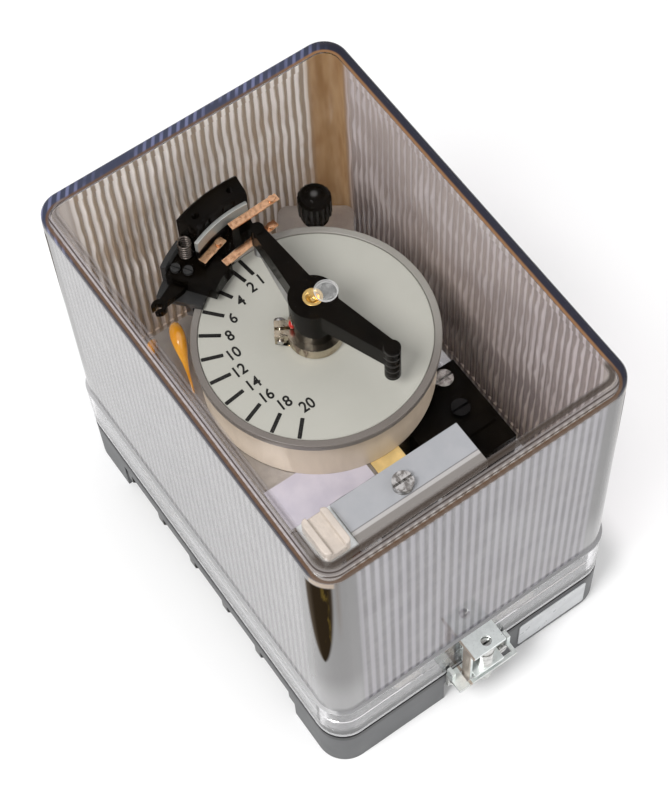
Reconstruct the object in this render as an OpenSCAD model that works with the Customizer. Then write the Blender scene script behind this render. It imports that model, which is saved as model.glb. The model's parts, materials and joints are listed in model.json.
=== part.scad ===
// Clockwork time relay, 1 to 20 s, under a clear fluted cover.
// Origin at the middle of the panel face, Z up through the window, latch side on -Y.

/* [Overall] */
// Width of the base along X
base_w = 100; // [98:0.5:104]
// Length of the base along Y
base_l = 138; // [136:0.5:146]
// Full height from the panel face to the window
total_h = 136; // [132:1:150]
// Corner radius of the base in plan
plan_r = 9; // [7:0.5:12]

/* [Base] */
// Height of the base from the panel face to the gasket
base_h = 20; // [18:0.5:22]
// Thickness of the base floor
floor_t = 7; // [6:0.5:8]
// Wall of the skirt under the floor
skirt_t = 3; // [2.5:0.5:4]
// Length of the open stretch of the skirt on each long side
side_open = 94; // [92:1:98]
// Width of the skirt notch under each latch
notch_w = 22; // [18:1:26]
// Height of the lip that centres the cover
spigot_h = 4; // [2:0.5:6]
// Wall of that lip
spigot_t = 2.2; // [1.8:0.1:2.6]
// Radius of the panel screw holes
mount_r = 2.75; // [2:0.05:3.2]
// Distance of the panel screw holes from the long sides
mount_in_x = 11; // [10:0.5:12]
// Distance of the panel screw holes from the short sides
mount_in_y = 13; // [11:0.5:14]

/* [Terminals] */
// Terminals in each row
terminal_n = 5; // [3:1:5]
// Spacing of the terminals
terminal_pitch = 18; // [16:0.5:18.4]
// Distance of each row from the side of the base
terminal_in = 9.5; // [9.4:0.1:10]
// Radius of a terminal stud
stud_r = 2; // [1.5:0.1:2.2]
// Thickness of a barrier
barrier_t = 3; // [2:0.5:4]
// Height of a barrier block below the floor
barrier_h = 10.5; // [9:0.5:12]

/* [Gasket and cover] */
// Thickness of the gasket
gasket_t = 1.5; // [1:0.1:2.5]
// Height of the cover foot above the gasket
foot_h = 19.5; // [17:0.5:24]
// Wall of the cover foot
foot_t = 3; // [2.8:0.1:3.6]
// Step from the foot in to the wall
foot_step = 0.8; // [0.4:0.1:1.2]
// Wall of the cover just above the foot
wall_t = 3.2; // [2.8:0.1:3.6]
// Draft of the wall from the foot to the top, on each side
draft = 0.65; // [0.2:0.05:0.9]
// Thickness of the window
window_t = 3.4; // [2.5:0.1:5]
// Rounding of the top edge
edge_r = 1.9; // [1:0.1:2.4]
// Spacing of the flutes inside the walls
flute_pitch = 2.7; // [2.5:0.1:4]
// Radius of a flute
flute_r = 1.15; // [0.8:0.05:1.2]
// Depth of a flute in the wall
flute_d = 0.7; // [0.3:0.05:0.9]
// Plain stretch of wall at each corner
flute_margin = 7; // [6:0.5:14]
// Radius of the gate mark sunk in the top of the window
gate_r = 3.1; // [2:0.1:4]
// Depth of the gate mark
gate_t = 0.8; // [0.5:0.1:2]

/* [Latches] */
// Sheet of the cover bracket and the latch bracket
latch_t = 1.2; // [0.8:0.1:1.5]
// Reach of the latch in front of the base
latch_reach = 7; // [6.8:0.1:8]
// Width of the top plate of the cover bracket
latch_w = 10.2; // [9:0.1:12]
// Width of the latch bracket
shelf_w = 21; // [20:0.5:24]
// Height of the cover bracket
latch_h = 16.7; // [14:0.1:18]
// Radius of the head of the cover screw
cover_screw_r = 2.6; // [2.2:0.05:2.7]
// Radius of the shank of the cover screw
cover_shank_r = 1.5; // [1.2:0.05:1.8]
// Radius of the seal hole
seal_hole_r = 1.6; // [1:0.1:2]

/* [Chassis] */
// Thickness of the chassis plate
chassis_t = 2; // [1.5:0.5:3]
// Distance of the chassis plate from the long sides
chassis_in_x = 14.5; // [14:0.5:16]
// Distance of the chassis plate from the short sides
chassis_in_y = 7; // [6.5:0.5:9]
// Radius of a standoff post
post_r = 3; // [2.5:0.1:3.2]
// Distance of the posts from the clock axis
post_ring = 27.5; // [27:0.1:28.5]

/* [Clock] */
// Place of the clock axis along X
axis_x = 1.5; // [1:0.5:2]
// Distance of the clock axis from the far short side
axis_in = 59.5; // [59:0.5:60]
// Height of the underside of the lower clock plate
lower_z = 52; // [50:0.5:54]
// Height of the underside of the upper clock plate
upper_z = 76.5; // [76:0.5:78]
// Thickness of the clock plates
plate_t = 1.5; // [1:0.1:2]
// Radius of the clock plates
plate_r = 33; // [32:0.5:33.4]
// Radius of the main arbor
arbor_r = 2; // [1.6:0.1:2.4]
// Radius of the small arbors
pivot_r = 1; // [0.8:0.05:1.2]
// Thickness of a wheel
wheel_t = 1.4; // [1:0.1:1.6]
// Module of the first gear pair
first_module = 0.6; // [0.58:0.01:0.62]
// Module of the second gear pair
second_module = 0.5; // [0.48:0.01:0.51]
// Pressure angle of the teeth
pressure_a = 25; // [22:1:27]
// Radius of the escape wheel
escape_r = 8; // [6:0.5:8.5]
// Turns of the drive spring
drive_turns = 5; // [3:1:7]

/* [Drum and dial] */
// Radius of the drum
drum_r = 33.5; // [33.3:0.1:34]
// Wall of the drum
drum_t = 1.5; // [1:0.1:2]
// Height of the drum up to its rim
drum_h = 20.2; // [18:0.2:22]
// Radius of the drum rim
rim_r = 34.8; // [34.6:0.1:35]
// Height of the drum rim
rim_h = 2.7; // [2:0.1:3]
// Radius of the dial
dial_r = 32.6; // [30:0.1:32.8]
// Thickness of the dial
dial_t = 0.8; // [0.5:0.1:1]

/* [Arm] */
// Height of the top of the arm above the dial
arm_rise = 20.2; // [19:0.1:21]
// Thickness of the limbs
limb_t = 7; // [5:0.5:8]
// Radius of the hub
hub_r = 6.8; // [6:0.1:7.5]
// Reach of the contact limb
contact_reach = 28.4; // [26:0.1:28.6]
// Reach of the peg limb
peg_reach = 26.5; // [24:0.5:28]
// Direction of the contact limb at rest
contact_az = 90; // [89:0.5:91]
// Direction of the peg limb at rest
peg_az = 287.5; // [280:0.5:292]
// Radius of the peg
peg_r = 2.3; // [1.8:0.1:2.6]

/* [Contact block] */
// Outer radius of the block about the clock axis
block_r = 45.6; // [45:0.1:46]
// Direction where the block's clamp ends
clamp_az = 131; // [130:1:133]
// Angle that the clamp takes up
clamp_span = 31; // [28:1:34]
// Direction where the block's moulding starts
body_az = 83.5; // [82:0.5:86]
// Angle that the moulding takes up
body_span = 27; // [25:1:29]
// Height of the moulding above the clamp
body_h = 16.8; // [14:0.2:17.4]

/* [Knob] */
// Direction of the knob from the clock axis
knob_az = 55.5; // [54:0.5:58]
// Distance of the knob from the clock axis
knob_reach = 40.3; // [40.2:0.1:42]
// Radius of the knob
knob_r = 4.9; // [4:0.1:5]
// Height of the knob
knob_h = 11; // [9:0.5:13]
// Height of the top of the knob
knob_top = 105.5; // [102:0.5:110]
// Radius of the knob's stud
knob_stud_r = 2; // [1.5:0.1:2.5]

/* [Solenoid] */
// Place of the solenoid along X
coil_x = -6; // [-7:0.5:-5]
// Distance of the solenoid from the latch side
coil_in = 25; // [24.5:0.5:25.5]
// Radius of the winding
winding_r = 15; // [13:0.5:15.5]
// Height of the yoke
yoke_h = 38; // [36:0.5:39]
// Strip of the yoke
yoke_t = 3; // [2:0.5:3.5]
// Width of the yoke strip
yoke_w = 22; // [18:1:26]
// Radius of the plunger
plunger_r = 4.4; // [3.6:0.1:4.8]
// Stroke of the plunger
stroke = 6; // [4:0.5:6]
// Height of the return spring
spring_h = 9; // [8.5:0.5:9]

/* [Name plate and switch] */
// Height of the top of the shelf under the name plate
shelf_z = 88; // [86:0.5:90]
// Length of the name plate
name_w = 42.3; // [38:0.1:44]
// Width of the name plate
name_l = 13.7; // [12:0.1:13.8]
// Height of the top of the switch block
switch_z = 72; // [70:0.5:72.5]
// Height of the switch block
switch_h = 12; // [10:0.5:14]
// Width of the switch block
switch_w = 24; // [23.5:0.1:24.2]
// Length of the switch block
switch_l = 30; // [29:0.5:30.5]

/* [Hidden] */
// Running clearance of a shaft in its hole
run = 0.06;
// Gap between a piece and its seat where it has play
play = 0.3;
eps = 0.01;

// Places in plan, from the sides of the base
mount_x = base_w / 2 - mount_in_x;
mount_y = base_l / 2 - mount_in_y;
terminal_x = base_w / 2 - terminal_in;
chassis_x = base_w / 2 - chassis_in_x;
chassis_y = base_l / 2 - chassis_in_y;
axis_y = base_l / 2 - axis_in;
coil_y = coil_in - base_l / 2;

// Heights, from the panel up
floor_z = base_h - floor_t;
foot_z = base_h + gasket_t;
step_z = foot_z + foot_h;
window_z = total_h - window_t;
deck_z = base_h + chassis_t;
yoke_z = deck_z + yoke_h;
drum_z = upper_z + plate_t;
rim_z = drum_z + drum_h;
dial_z = rim_z - 0.4;
arm_z = dial_z + arm_rise;

// Plan of the cover
foot_in_w = base_w - 2 * foot_t;
foot_in_l = base_l - 2 * foot_t;
wall_w = base_w - 2 * foot_step;
wall_l = base_l - 2 * foot_step;
cavity_w = wall_w - 2 * wall_t;
cavity_l = wall_l - 2 * wall_t;
cavity_r = plan_r - foot_step - wall_t;
spigot_w = foot_in_w - 0.8;
spigot_l = foot_in_l - 0.8;

// Terminals
terminal_y = [for (i = [0 : terminal_n - 1]) (i - (terminal_n - 1) / 2) * terminal_pitch];
barrier_x = base_w / 2 - 0.3;
barrier_back = terminal_x - 8;
nut_r = stud_r * 2.02;
nut_h = stud_r * 1.6;

// Latch
latch_y = base_l / 2;
screw_y = latch_y + latch_reach - cover_screw_r - 0.1;
bracket_z = foot_z + 2.5;
latch_top = bracket_z + latch_h;
latch_nut_h = 4;
slot_x = latch_w / 2 + latch_t;
shelf_top = base_h + 0.3;
rivet_x = 3;
rivet_z = latch_top - 5;
rivet_r = 1;
rivet_l = 1.2;

// Gear train
main_teeth = 60;
pinion_teeth = 12;
second_teeth = 50;
escape_pinion_teeth = 10;
escape_teeth = 20;
first_d = first_module * (main_teeth + pinion_teeth) / 2;
second_d = second_module * (second_teeth + escape_pinion_teeth) / 2;
second_az = 170;
escape_az = 70;
second_pos = [first_d * cos(second_az), first_d * sin(second_az)];
escape_pos = second_pos + second_d * [cos(escape_az), sin(escape_az)];
pallet_d = escape_r + 3;
pallet_az = 30;
pallet_pos = escape_pos + pallet_d * [cos(pallet_az), sin(pallet_az)];
post_az = [20, 75, 235, 310];
plate_top_z = lower_z + plate_t;
spring_z = plate_top_z + 1;
spring_w = 6;
escape_z = spring_z + spring_w + 1;
second_z = escape_z + 3.1;
main_z = upper_z - 6.5;

// Contact block
clamp_z = rim_z + play;
web_t = 2;
web_z = clamp_z + web_t;
jaw_z = rim_z - rim_h - play;
block_top = web_z + body_h;
body_in = 38.6;
bed_h = 5.2;
leaf_w = 2.4;
leaf_t = 0.5;
leaf_a_z = web_z + 11.2;
leaf_d_z = web_z + 7.2;

// Solenoid and release lever
core_h = 6;
plunger_flange_t = 1.5;
neck_z = yoke_z + spring_h + plunger_flange_t;
neck_h = 5.5;
neck_r = 2;
collar_r = plunger_r + 1.5;
cap_r = plunger_r;
fork_d = 15;
pivot_y = coil_y + fork_d;
pivot_z = neck_z + neck_h / 2;
lever_t = 1.6;

// Plan of a rounded rectangle
module plan(w, l, r) {
    square([w - 2 * r, l], center = true);
    square([w, l - 2 * r], center = true);
    for (x = [-1, 1], y = [-1, 1])
        translate([x * (w / 2 - r), y * (l / 2 - r)])
            circle(r, $fn = 48);
}

// Straight round bar standing on z
module rod(r, z, h) {
    translate([0, 0, z])
        cylinder(r = r, h = h, $fn = 40);
}

// Moves its children to the clock axis
module at_clock() {
    translate([axis_x, axis_y, 0])
        children();
}

// Moves its children to a direction and distance from the clock axis
module round_clock(az, reach) {
    at_clock()
        rotate([0, 0, az])
            translate([reach, 0, 0])
                children();
}

// Sector of a ring about the clock axis with a section drawn in radius and height
module sector(az, span) {
    at_clock()
        rotate([0, 0, az])
            rotate_extrude(angle = span, $fn = 160)
                children();
}

// Puts a copy of its children at the far end, turned half round
module at_end(rear) {
    rotate([0, 0, rear ? 180 : 0])
        children();
}

// Slotted screw: head on z, shank below it
module screw(head_r, head_h, shank_r, shank_l) {
    difference() {
        rod(head_r, 0, head_h);
        translate([-head_r, -head_r * 0.12, head_h * 0.55])
            cube([2 * head_r, head_r * 0.24, head_h]);
    }
    rod(shank_r, -shank_l, shank_l + eps);
}

// Hexagon nut with a clear bore, standing on z
module nut(r, z, h, bore) {
    difference() {
        translate([0, 0, z])
            rotate([0, 0, 30])
                cylinder(r = r, h = h, $fn = 6);
        rod(bore, z - 1, h + 2);
    }
}

// Point at a radius and an angle
function polar(r, a) = [r * cos(a), r * sin(a)];

// Involute function in degrees
function inv(a) = tan(a) * 180 / PI - a;

// Half angle of a tooth at radius r
function tooth_half(n, m, r) =
    let (pitch = m * n / 2, base = pitch * cos(pressure_a), play_a = 0.05 / pitch * 180 / PI)
    90 / n - play_a + inv(pressure_a) - inv(acos(min(1, base / max(r, base))));

// Outline of an involute gear, one tooth pointing along +X
function gear_points(n, m, tip, root) =
    let (r0 = m * n / 2, steps = [for (k = [0 : 3]) r0 - root + (root + tip) * k / 3])
    [for (i = [0 : n - 1])
        each concat(
            [for (k = [0 : 3]) polar(steps[k], i * 360 / n - tooth_half(n, m, steps[k]))],
            [for (k = [3 : -1 : 0]) polar(steps[k], i * 360 / n + tooth_half(n, m, steps[k]))])];

// Gear turned by a number of degrees, with a clear bore
module gear(n, m, t, bore, turn = 0) {
    rotate([0, 0, turn])
        linear_extrude(t)
            difference() {
                polygon(gear_points(n, m, 0.85 * m, 1.15 * m));
                if (bore > 0)
                    circle(bore, $fn = 32);
            }
}

// Spoke windows of a wheel
module wheel_windows(r_in, r_out, n) {
    for (i = [0 : n - 1])
        rotate([0, 0, (i + 0.5) * 360 / n])
            translate([(r_in + r_out) / 2, 0, -1])
                cylinder(r = (r_out - r_in) / 2, h = wheel_t + 2, $fn = 32);
}

// Round tube swept along a list of points, with rings set out from a direction that the
// path never takes
module tube(path, r, across, sides = 8) {
    n = len(path);
    dirs = [for (i = [0 : n - 1]) path[min(n - 1, i + 1)] - path[max(0, i - 1)]];
    points = [for (i = [0 : n - 1])
        let (d = dirs[i] / norm(dirs[i]),
             side = cross(d, across), u = side / norm(side), v = cross(d, u))
        for (k = [0 : sides - 1])
            path[i] + r * (u * cos(k * 360 / sides) + v * sin(k * 360 / sides))];
    walls = [for (i = [0 : n - 2], k = [0 : sides - 1], f = [0, 1])
        let (a = i * sides + k, b = i * sides + (k + 1) % sides, c = a + sides, d = b + sides)
        f == 0 ? [a, c, d] : [a, d, b]];
    ends = [[for (k = [0 : sides - 1]) k],
            [for (k = [sides - 1 : -1 : 0]) (n - 1) * sides + k]];
    polyhedron(points = points, faces = concat(walls, ends), convexity = 10);
}

// Coil spring standing on z = 0, closed at both ends
module coil_spring(r, wire, h, turns) {
    steps = turns * 12;
    tube([for (i = [0 : steps])
        let (a = i * 360 / 12, s = i / steps)
        [r * cos(a), r * sin(a), wire + (h - 2 * wire) * s]], wire, [0, 0, 1], 6);
}

// Base moulding: floor, skirt, spigot and bosses
module base() {
    color("dimgray")
        difference() {
            union() {
                linear_extrude(base_h)
                    plan(base_w, base_l, plan_r);
                translate([0, 0, base_h - eps])
                    linear_extrude(spigot_h)
                        plan(spigot_w, spigot_l, plan_r - foot_t - 0.4);
            }
            difference() {
                translate([0, 0, -1])
                    linear_extrude(floor_z + 1)
                        plan(base_w - 2 * skirt_t, base_l - 2 * skirt_t, plan_r - skirt_t);
                for (s = [-1, 1])
                    translate([s * mount_x, -s * mount_y, 0])
                        rod(mount_r + 2.6, 0, floor_z);
            }
            translate([0, 0, base_h])
                linear_extrude(spigot_h + 1)
                    plan(spigot_w - 2 * spigot_t, spigot_l - 2 * spigot_t, 3);
            translate([-base_w, -side_open / 2, -1])
                cube([2 * base_w, side_open, floor_z + 1]);
            translate([-notch_w / 2, -base_l, -1])
                cube([notch_w, 2 * base_l, floor_z + 1]);
            for (s = [-1, 1])
                translate([s * mount_x, -s * mount_y, 0])
                    rod(mount_r, -1, base_h + 2);
            for (s = [-1, 1], y = terminal_y)
                translate([s * terminal_x, y, 0])
                    rod(stud_r + run, 0, base_h + 1);
            for (x = [-1, 1], y = [-1, 1])
                translate([x * chassis_screw_x, y * chassis_screw_y, 0])
                    rod(chassis_screw_r + run, floor_z + 1, base_h);
            for (rear = [false, true], x = [-1, 1])
                at_end(rear)
                    translate([x * bracket_screw_x, -base_l / 2, bracket_screw_z])
                        rotate([90, 0, 0])
                            rod(bracket_screw_r + run, -bracket_screw_l, bracket_screw_l + 1);
        }
}

// Barrier block of one row of terminals, screwed up under the floor by the studs
module terminal_block(side) {
    back_t = 2.2;
    roof_t = 1.5;
    barrier_n = terminal_n + 1;
    low = floor_z - barrier_h;
    mirror([side < 0 ? 1 : 0, 0, 0])
        difference() {
            union() {
                translate([barrier_back, -side_open / 2 + play, low])
                    cube([back_t, side_open - 2 * play, barrier_h]);
                translate([barrier_back, -side_open / 2 + play, floor_z - roof_t])
                    cube([barrier_x - barrier_back - 1.2, side_open - 2 * play, roof_t]);
                for (i = [0 : barrier_n - 1])
                    translate([0, (i - (barrier_n - 1) / 2) * terminal_pitch + barrier_t / 2, 0])
                        rotate([90, 0, 0])
                            linear_extrude(barrier_t)
                                polygon([
                                    [barrier_back, low], [barrier_x - 3, low],
                                    [barrier_x, low + 4], [barrier_x, floor_z],
                                    [barrier_back, floor_z]]);
            }
            for (y = terminal_y)
                translate([terminal_x, y, 0])
                    rod(stud_r + run, 0, floor_z + 1);
        }
}

module terminal_block_left() {
    color("#1c1c1e")
        terminal_block(-1);
}

module terminal_block_right() {
    color("#1c1c1e")
        terminal_block(1);
}

stud_low = 2;
stud_high = base_h + 6;
inner_nut_z = base_h;
outer_nut_z = floor_z - 1.5 - nut_h;
clamp_nut_z = stud_low + 1;

// Terminal studs through the floor
module terminal_studs() {
    color("#c9a04e")
        for (s = [-1, 1], y = terminal_y)
            translate([s * terminal_x, y, 0])
                rod(stud_r, stud_low, stud_high - stud_low);
}

// Nuts of the terminal studs: one inside, one under the roof and one that clamps the wire
module terminal_nuts() {
    color("#b8924a")
        for (s = [-1, 1], y = terminal_y, z = [inner_nut_z, outer_nut_z, clamp_nut_z])
            translate([s * terminal_x, y, 0])
                nut(nut_r, z, nut_h, stud_r + run);
}

// Rubber ring between the base and the cover foot
module gasket() {
    color("black")
        translate([0, 0, base_h])
            linear_extrude(gasket_t)
                difference() {
                    plan(base_w - 0.4, base_l - 0.4, plan_r - 0.2);
                    plan(foot_in_w, foot_in_l, plan_r - foot_t);
                }
}

label_x = 16.5;
label_w = 25;
label_h = 14;
label_t = 0.4;

// Bare plate on the front skirt
module front_label() {
    color("lightgray")
        translate([label_x, -base_l / 2, 3])
            rotate([90, 0, 0])
                linear_extrude(label_t)
                    translate([label_w / 2, label_h / 2])
                        plan(label_w, label_h, 1);
}

bracket_screw_x = 8;
bracket_screw_r = 1.2;
bracket_screw_l = 6;
bracket_screw_z = floor_z + 3;

// Frame-shaped shelf in front of the base with its brass nut pressed in
module latch_bracket(rear) {
    leg_h = 7;
    tab_h = 5;
    at_end(rear)
        translate([0, -latch_y, 0]) {
            difference() {
                union() {
                    translate([-shelf_w / 2, -latch_reach + 0.2, shelf_top - latch_t])
                        cube([shelf_w, latch_reach - 0.2, latch_t]);
                    translate([-shelf_w / 2, -latch_t, shelf_top - latch_t - leg_h])
                        cube([shelf_w, latch_t, leg_h + eps]);
                    for (s = [-1, 1])
                        translate([s * (shelf_w / 2 - latch_t / 2) - latch_t / 2, -3, shelf_top - eps])
                            cube([latch_t, 2.6, tab_h]);
                }
                translate([-slot_x - 0.6, -latch_reach + 1.4, shelf_top - 3])
                    cube([latch_t + 1.2, latch_reach - 3, 4]);
                translate([slot_x - latch_t, -latch_reach + 1.4, shelf_top - 3])
                    cube([shelf_w / 2 - slot_x, latch_reach - 3, 4]);
                translate([0, latch_y - screw_y, 0])
                    rod(cover_shank_r + run, shelf_top - 3, 4);
                for (x = [-1, 1])
                    translate([x * bracket_screw_x, 0, bracket_screw_z])
                        rotate([90, 0, 0])
                            rod(bracket_screw_r + run, -1, 4);
            }
        }
    at_end(rear)
        translate([0, -screw_y, 0])
            difference() {
                rod(2.5, shelf_top - latch_t - latch_nut_h, latch_nut_h + eps);
                rod(cover_shank_r + run, shelf_top - latch_t - latch_nut_h - 1, latch_nut_h + 2);
            }
}

module latch_bracket_front() {
    color("silver")
        latch_bracket(false);
}

module latch_bracket_rear() {
    color("silver")
        latch_bracket(true);
}

// Screws that hold the two latch brackets to the base
module bracket_screws() {
    color("gainsboro")
        for (rear = [false, true], x = [-1, 1])
            at_end(rear)
                translate([x * bracket_screw_x, -latch_y - latch_t, bracket_screw_z])
                    rotate([90, 0, 0])
                        screw(2.1, 1.4, bracket_screw_r, bracket_screw_l);
}

// Clear cover: foot, drafted walls with flutes inside, window and gate mark
module cover() {
    flute_low = step_z + 4;
    flute_high = window_z - 3;
    top_w = wall_w - 2 * draft;
    top_l = wall_l - 2 * draft;
    top_r = plan_r - foot_step - draft;
    fall = [[0, edge_r], [0.12, 0.5], [0.4, 0.18], [1, 0]];
    n_w = floor((cavity_w / 2 - cavity_r - flute_margin / 2) / flute_pitch);
    n_l = floor((cavity_l / 2 - cavity_r - flute_margin / 2) / flute_pitch);
    color("lavender", 0.35)
        difference() {
            union() {
                translate([0, 0, foot_z])
                    linear_extrude(foot_h)
                        plan(base_w, base_l, plan_r);
                hull() {
                    translate([0, 0, step_z - 1])
                        linear_extrude(eps)
                            plan(wall_w, wall_l, plan_r - foot_step);
                    for (f = fall)
                        translate([0, 0, total_h - eps - f[1] * edge_r])
                            linear_extrude(eps)
                                plan(top_w - 2 * f[0] * edge_r, top_l - 2 * f[0] * edge_r,
                                     top_r - f[0] * edge_r);
                }
            }
            translate([0, 0, foot_z - 1])
                linear_extrude(foot_h / 2 + 1)
                    plan(foot_in_w, foot_in_l, plan_r - foot_t);
            translate([0, 0, foot_z - 1])
                linear_extrude(window_z - foot_z + 1)
                    plan(cavity_w, cavity_l, cavity_r);
            for (rear = [false, true], x = [-1, 1])
                at_end(rear)
                    translate([x * rivet_x, -latch_y, rivet_z])
                        rotate([90, 0, 0])
                            rod(rivet_r + run, -rivet_l - 0.1, rivet_l + 1);
            translate([0, 0, flute_low])
                linear_extrude(flute_high - flute_low)
                    for (s = [-1, 1]) {
                        for (i = [-n_w : n_w])
                            translate([i * flute_pitch, s * (cavity_l / 2 + flute_d - flute_r)])
                                circle(flute_r, $fn = 20);
                        for (i = [-n_l : n_l])
                            translate([s * (cavity_w / 2 + flute_d - flute_r), i * flute_pitch])
                                circle(flute_r, $fn = 20);
                    }
            rod(gate_r, total_h - gate_t, gate_t + 1);
        }
}

// Folded bracket riveted to the cover foot: back, lower plate, top plate with the
// seal hole, and a cheek that drops into the slot of the latch bracket
module cover_bracket(rear) {
    half = latch_w / 2;
    at_end(rear)
        difference() {
            union() {
                translate([-half, -latch_y - latch_t, bracket_z])
                    cube([latch_w, latch_t, latch_h]);
                translate([-half, -latch_y - latch_reach, bracket_z])
                    cube([latch_w, latch_reach, latch_t]);
                translate([-half - latch_t, -latch_y - latch_reach, latch_top - latch_t])
                    cube([latch_w + latch_t, latch_reach, latch_t]);
                translate([-half - latch_t, -latch_y - latch_reach + 1.8, shelf_top - 2.6])
                    cube([latch_t, latch_reach - 3.8, latch_top - shelf_top + 2.6]);
                for (x = [-1, 1])
                    translate([x * rivet_x, -latch_y, rivet_z])
                        rotate([90, 0, 0])
                            rod(rivet_r, -rivet_l, rivet_l + latch_t + 0.3);
            }
            translate([0, -screw_y, 0]) {
                rod(seal_hole_r, latch_top - 3, 4);
                rod(cover_shank_r + run, bracket_z - 1, 4);
            }
        }
}

module cover_bracket_front() {
    color("#c8ccd0")
        cover_bracket(false);
}

module cover_bracket_rear() {
    color("#c8ccd0")
        cover_bracket(true);
}

// Captive screw between the two plates of the cover bracket
module cover_screw(rear) {
    head_z = bracket_z + latch_t;
    head_h = latch_h - 2 * latch_t - 0.5;
    shank_l = head_z - (shelf_top - latch_t - latch_nut_h - 1);
    at_end(rear)
        translate([0, -screw_y, head_z])
            difference() {
                screw(cover_screw_r, head_h, cover_shank_r, shank_l);
                translate([0, 0, head_h * 0.7])
                    rotate_extrude($fn = 40)
                        translate([cover_screw_r, 0])
                            square([0.5, 1.4], center = true);
            }
}

module cover_screw_front() {
    color("#d8d8dc")
        cover_screw(false);
}

module cover_screw_rear() {
    color("#d8d8dc")
        cover_screw(true);
}

chassis_screw_x = chassis_x - 5;
chassis_screw_y = chassis_y - 16;
chassis_screw_r = 1.8;
switch_x = [chassis_x + 0.5 - switch_w, chassis_x + 0.5];
switch_y = [coil_y + 6, coil_y + 6 + switch_l];
switch_low = switch_z - switch_h;

// Chassis plate on the floor, with an upright for the switch block folded from it
module chassis() {
    cut = 11;
    tab_w = 12;
    tab_y = [switch_y[0] + 1, switch_y[0] + 18];
    color("#a9a9a2")
        difference() {
            union() {
                translate([0, 0, base_h])
                    linear_extrude(chassis_t)
                        polygon([
                            [-chassis_x + cut, -chassis_y], [chassis_x - cut, -chassis_y],
                            [chassis_x, -chassis_y + cut], [chassis_x, chassis_y - cut],
                            [chassis_x - cut, chassis_y], [-chassis_x + cut, chassis_y],
                            [-chassis_x, chassis_y - cut], [-chassis_x, -chassis_y + cut]]);
                translate([chassis_x - chassis_t, tab_y[0], base_h])
                    cube([chassis_t, tab_y[1] - tab_y[0], switch_low - base_h]);
                translate([chassis_x - tab_w, tab_y[0], switch_low - chassis_t])
                    cube([tab_w, tab_y[1] - tab_y[0], chassis_t]);
            }
            for (x = [-1, 1], y = [-1, 1])
                translate([x * chassis_screw_x, y * chassis_screw_y, 0])
                    rod(chassis_screw_r + run, base_h - 1, chassis_t + 2);
        }
}

// Screws of the chassis plate
module chassis_screws() {
    color("silver")
        for (x = [-1, 1], y = [-1, 1])
            translate([x * chassis_screw_x, y * chassis_screw_y, deck_z])
                screw(3.2, 2.2, chassis_screw_r, chassis_t + floor_t - 2);
}

// Posts between the chassis plate and the lower clock plate
module standoff_posts() {
    color("#b9bcc0")
        for (a = post_az)
            round_clock(a, post_ring)
                rod(post_r, deck_z, lower_z - deck_z);
}

// Steel strip bent round the coil, with the fixed core riveted in
module yoke() {
    half = winding_r + 1;
    color("#8c9094")
        translate([coil_x, coil_y, 0])
            difference() {
                union() {
                    for (z = [deck_z, yoke_z - yoke_t])
                        translate([-yoke_w / 2, -half - yoke_t, z])
                            cube([yoke_w, 2 * (half + yoke_t), yoke_t]);
                    for (y = [-half - yoke_t, half])
                        translate([-yoke_w / 2, y, deck_z])
                            cube([yoke_w, yoke_t, yoke_h]);
                    rod(plunger_r, deck_z, yoke_t + core_h);
                }
                rod(plunger_r + 0.25, yoke_z - yoke_t - 1, yoke_t + 2);
            }
}

bobbin_bore = plunger_r + 0.25;
bobbin_low = deck_z + yoke_t;
bobbin_h = yoke_h - 2 * yoke_t;
flange_t = 1.6;

// Bobbin of the coil
module bobbin() {
    color("#3a2a20")
        translate([coil_x, coil_y, bobbin_low])
            difference() {
                union() {
                    rod(bobbin_bore + 1.2, 0, bobbin_h);
                    rod(winding_r + 0.7, 0, flange_t);
                    rod(winding_r + 0.7, bobbin_h - flange_t, flange_t);
                }
                rod(bobbin_bore, -1, bobbin_h + 2);
            }
}

// Winding between the flanges, with its wrapper
module winding() {
    color("#c8b27a")
        translate([coil_x, coil_y, bobbin_low])
            difference() {
                rod(winding_r, flange_t + 0.1, bobbin_h - 2 * flange_t - 0.2);
                rod(bobbin_bore + 1.3, 0, bobbin_h);
            }
}

// Plunger with the collar, neck and cap that work the release lever
module plunger() {
    low = deck_z + yoke_t + core_h + stroke + 0.6;
    color("#9aa0a6")
        translate([coil_x, coil_y, 0]) {
            rod(plunger_r, low, neck_z - plunger_flange_t - low + eps);
            rod(collar_r, neck_z - plunger_flange_t, plunger_flange_t);
            rod(neck_r, neck_z - eps, neck_h + 2 * eps);
            rod(cap_r, neck_z + neck_h, plunger_flange_t);
        }
}

// Return spring of the plunger, on the yoke and under the collar
module return_spring() {
    color("silver")
        translate([coil_x, coil_y, yoke_z])
            coil_spring(plunger_r + 0.9, 0.4, spring_h, 3);
}

stand_half = 8;
ear_t = 1.2;

// Stand of the release lever on the yoke
module lever_stand() {
    ear_l = 5.4;
    color("#b5b0a0")
        translate([coil_x, pivot_y, 0])
            difference() {
                union() {
                    translate([-stand_half, -ear_l / 2, yoke_z])
                        cube([2 * stand_half, ear_l, ear_t]);
                    for (s = [-1, 1])
                        translate([s * (stand_half - ear_t / 2) - ear_t / 2, 0, 0]) {
                            translate([0, -ear_l / 2, yoke_z])
                                cube([ear_t, ear_l, pivot_z - yoke_z]);
                            translate([0, 0, pivot_z])
                                rotate([0, 90, 0])
                                    cylinder(r = ear_l / 2 - 0.3, h = ear_t, $fn = 40);
                        }
                }
                translate([-stand_half - 1, 0, pivot_z])
                    rotate([0, 90, 0])
                        rod(pivot_r + run, 0, 2 * stand_half + 2);
            }
}

// Pin of the release lever
module lever_pin() {
    color("silver")
        translate([coil_x - stand_half - 0.8, pivot_y, pivot_z])
            rotate([0, 90, 0])
                rod(pivot_r, 0, 2 * stand_half + 1.6);
}

side_arm_y = -5.6;
contact_x = 18;

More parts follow.
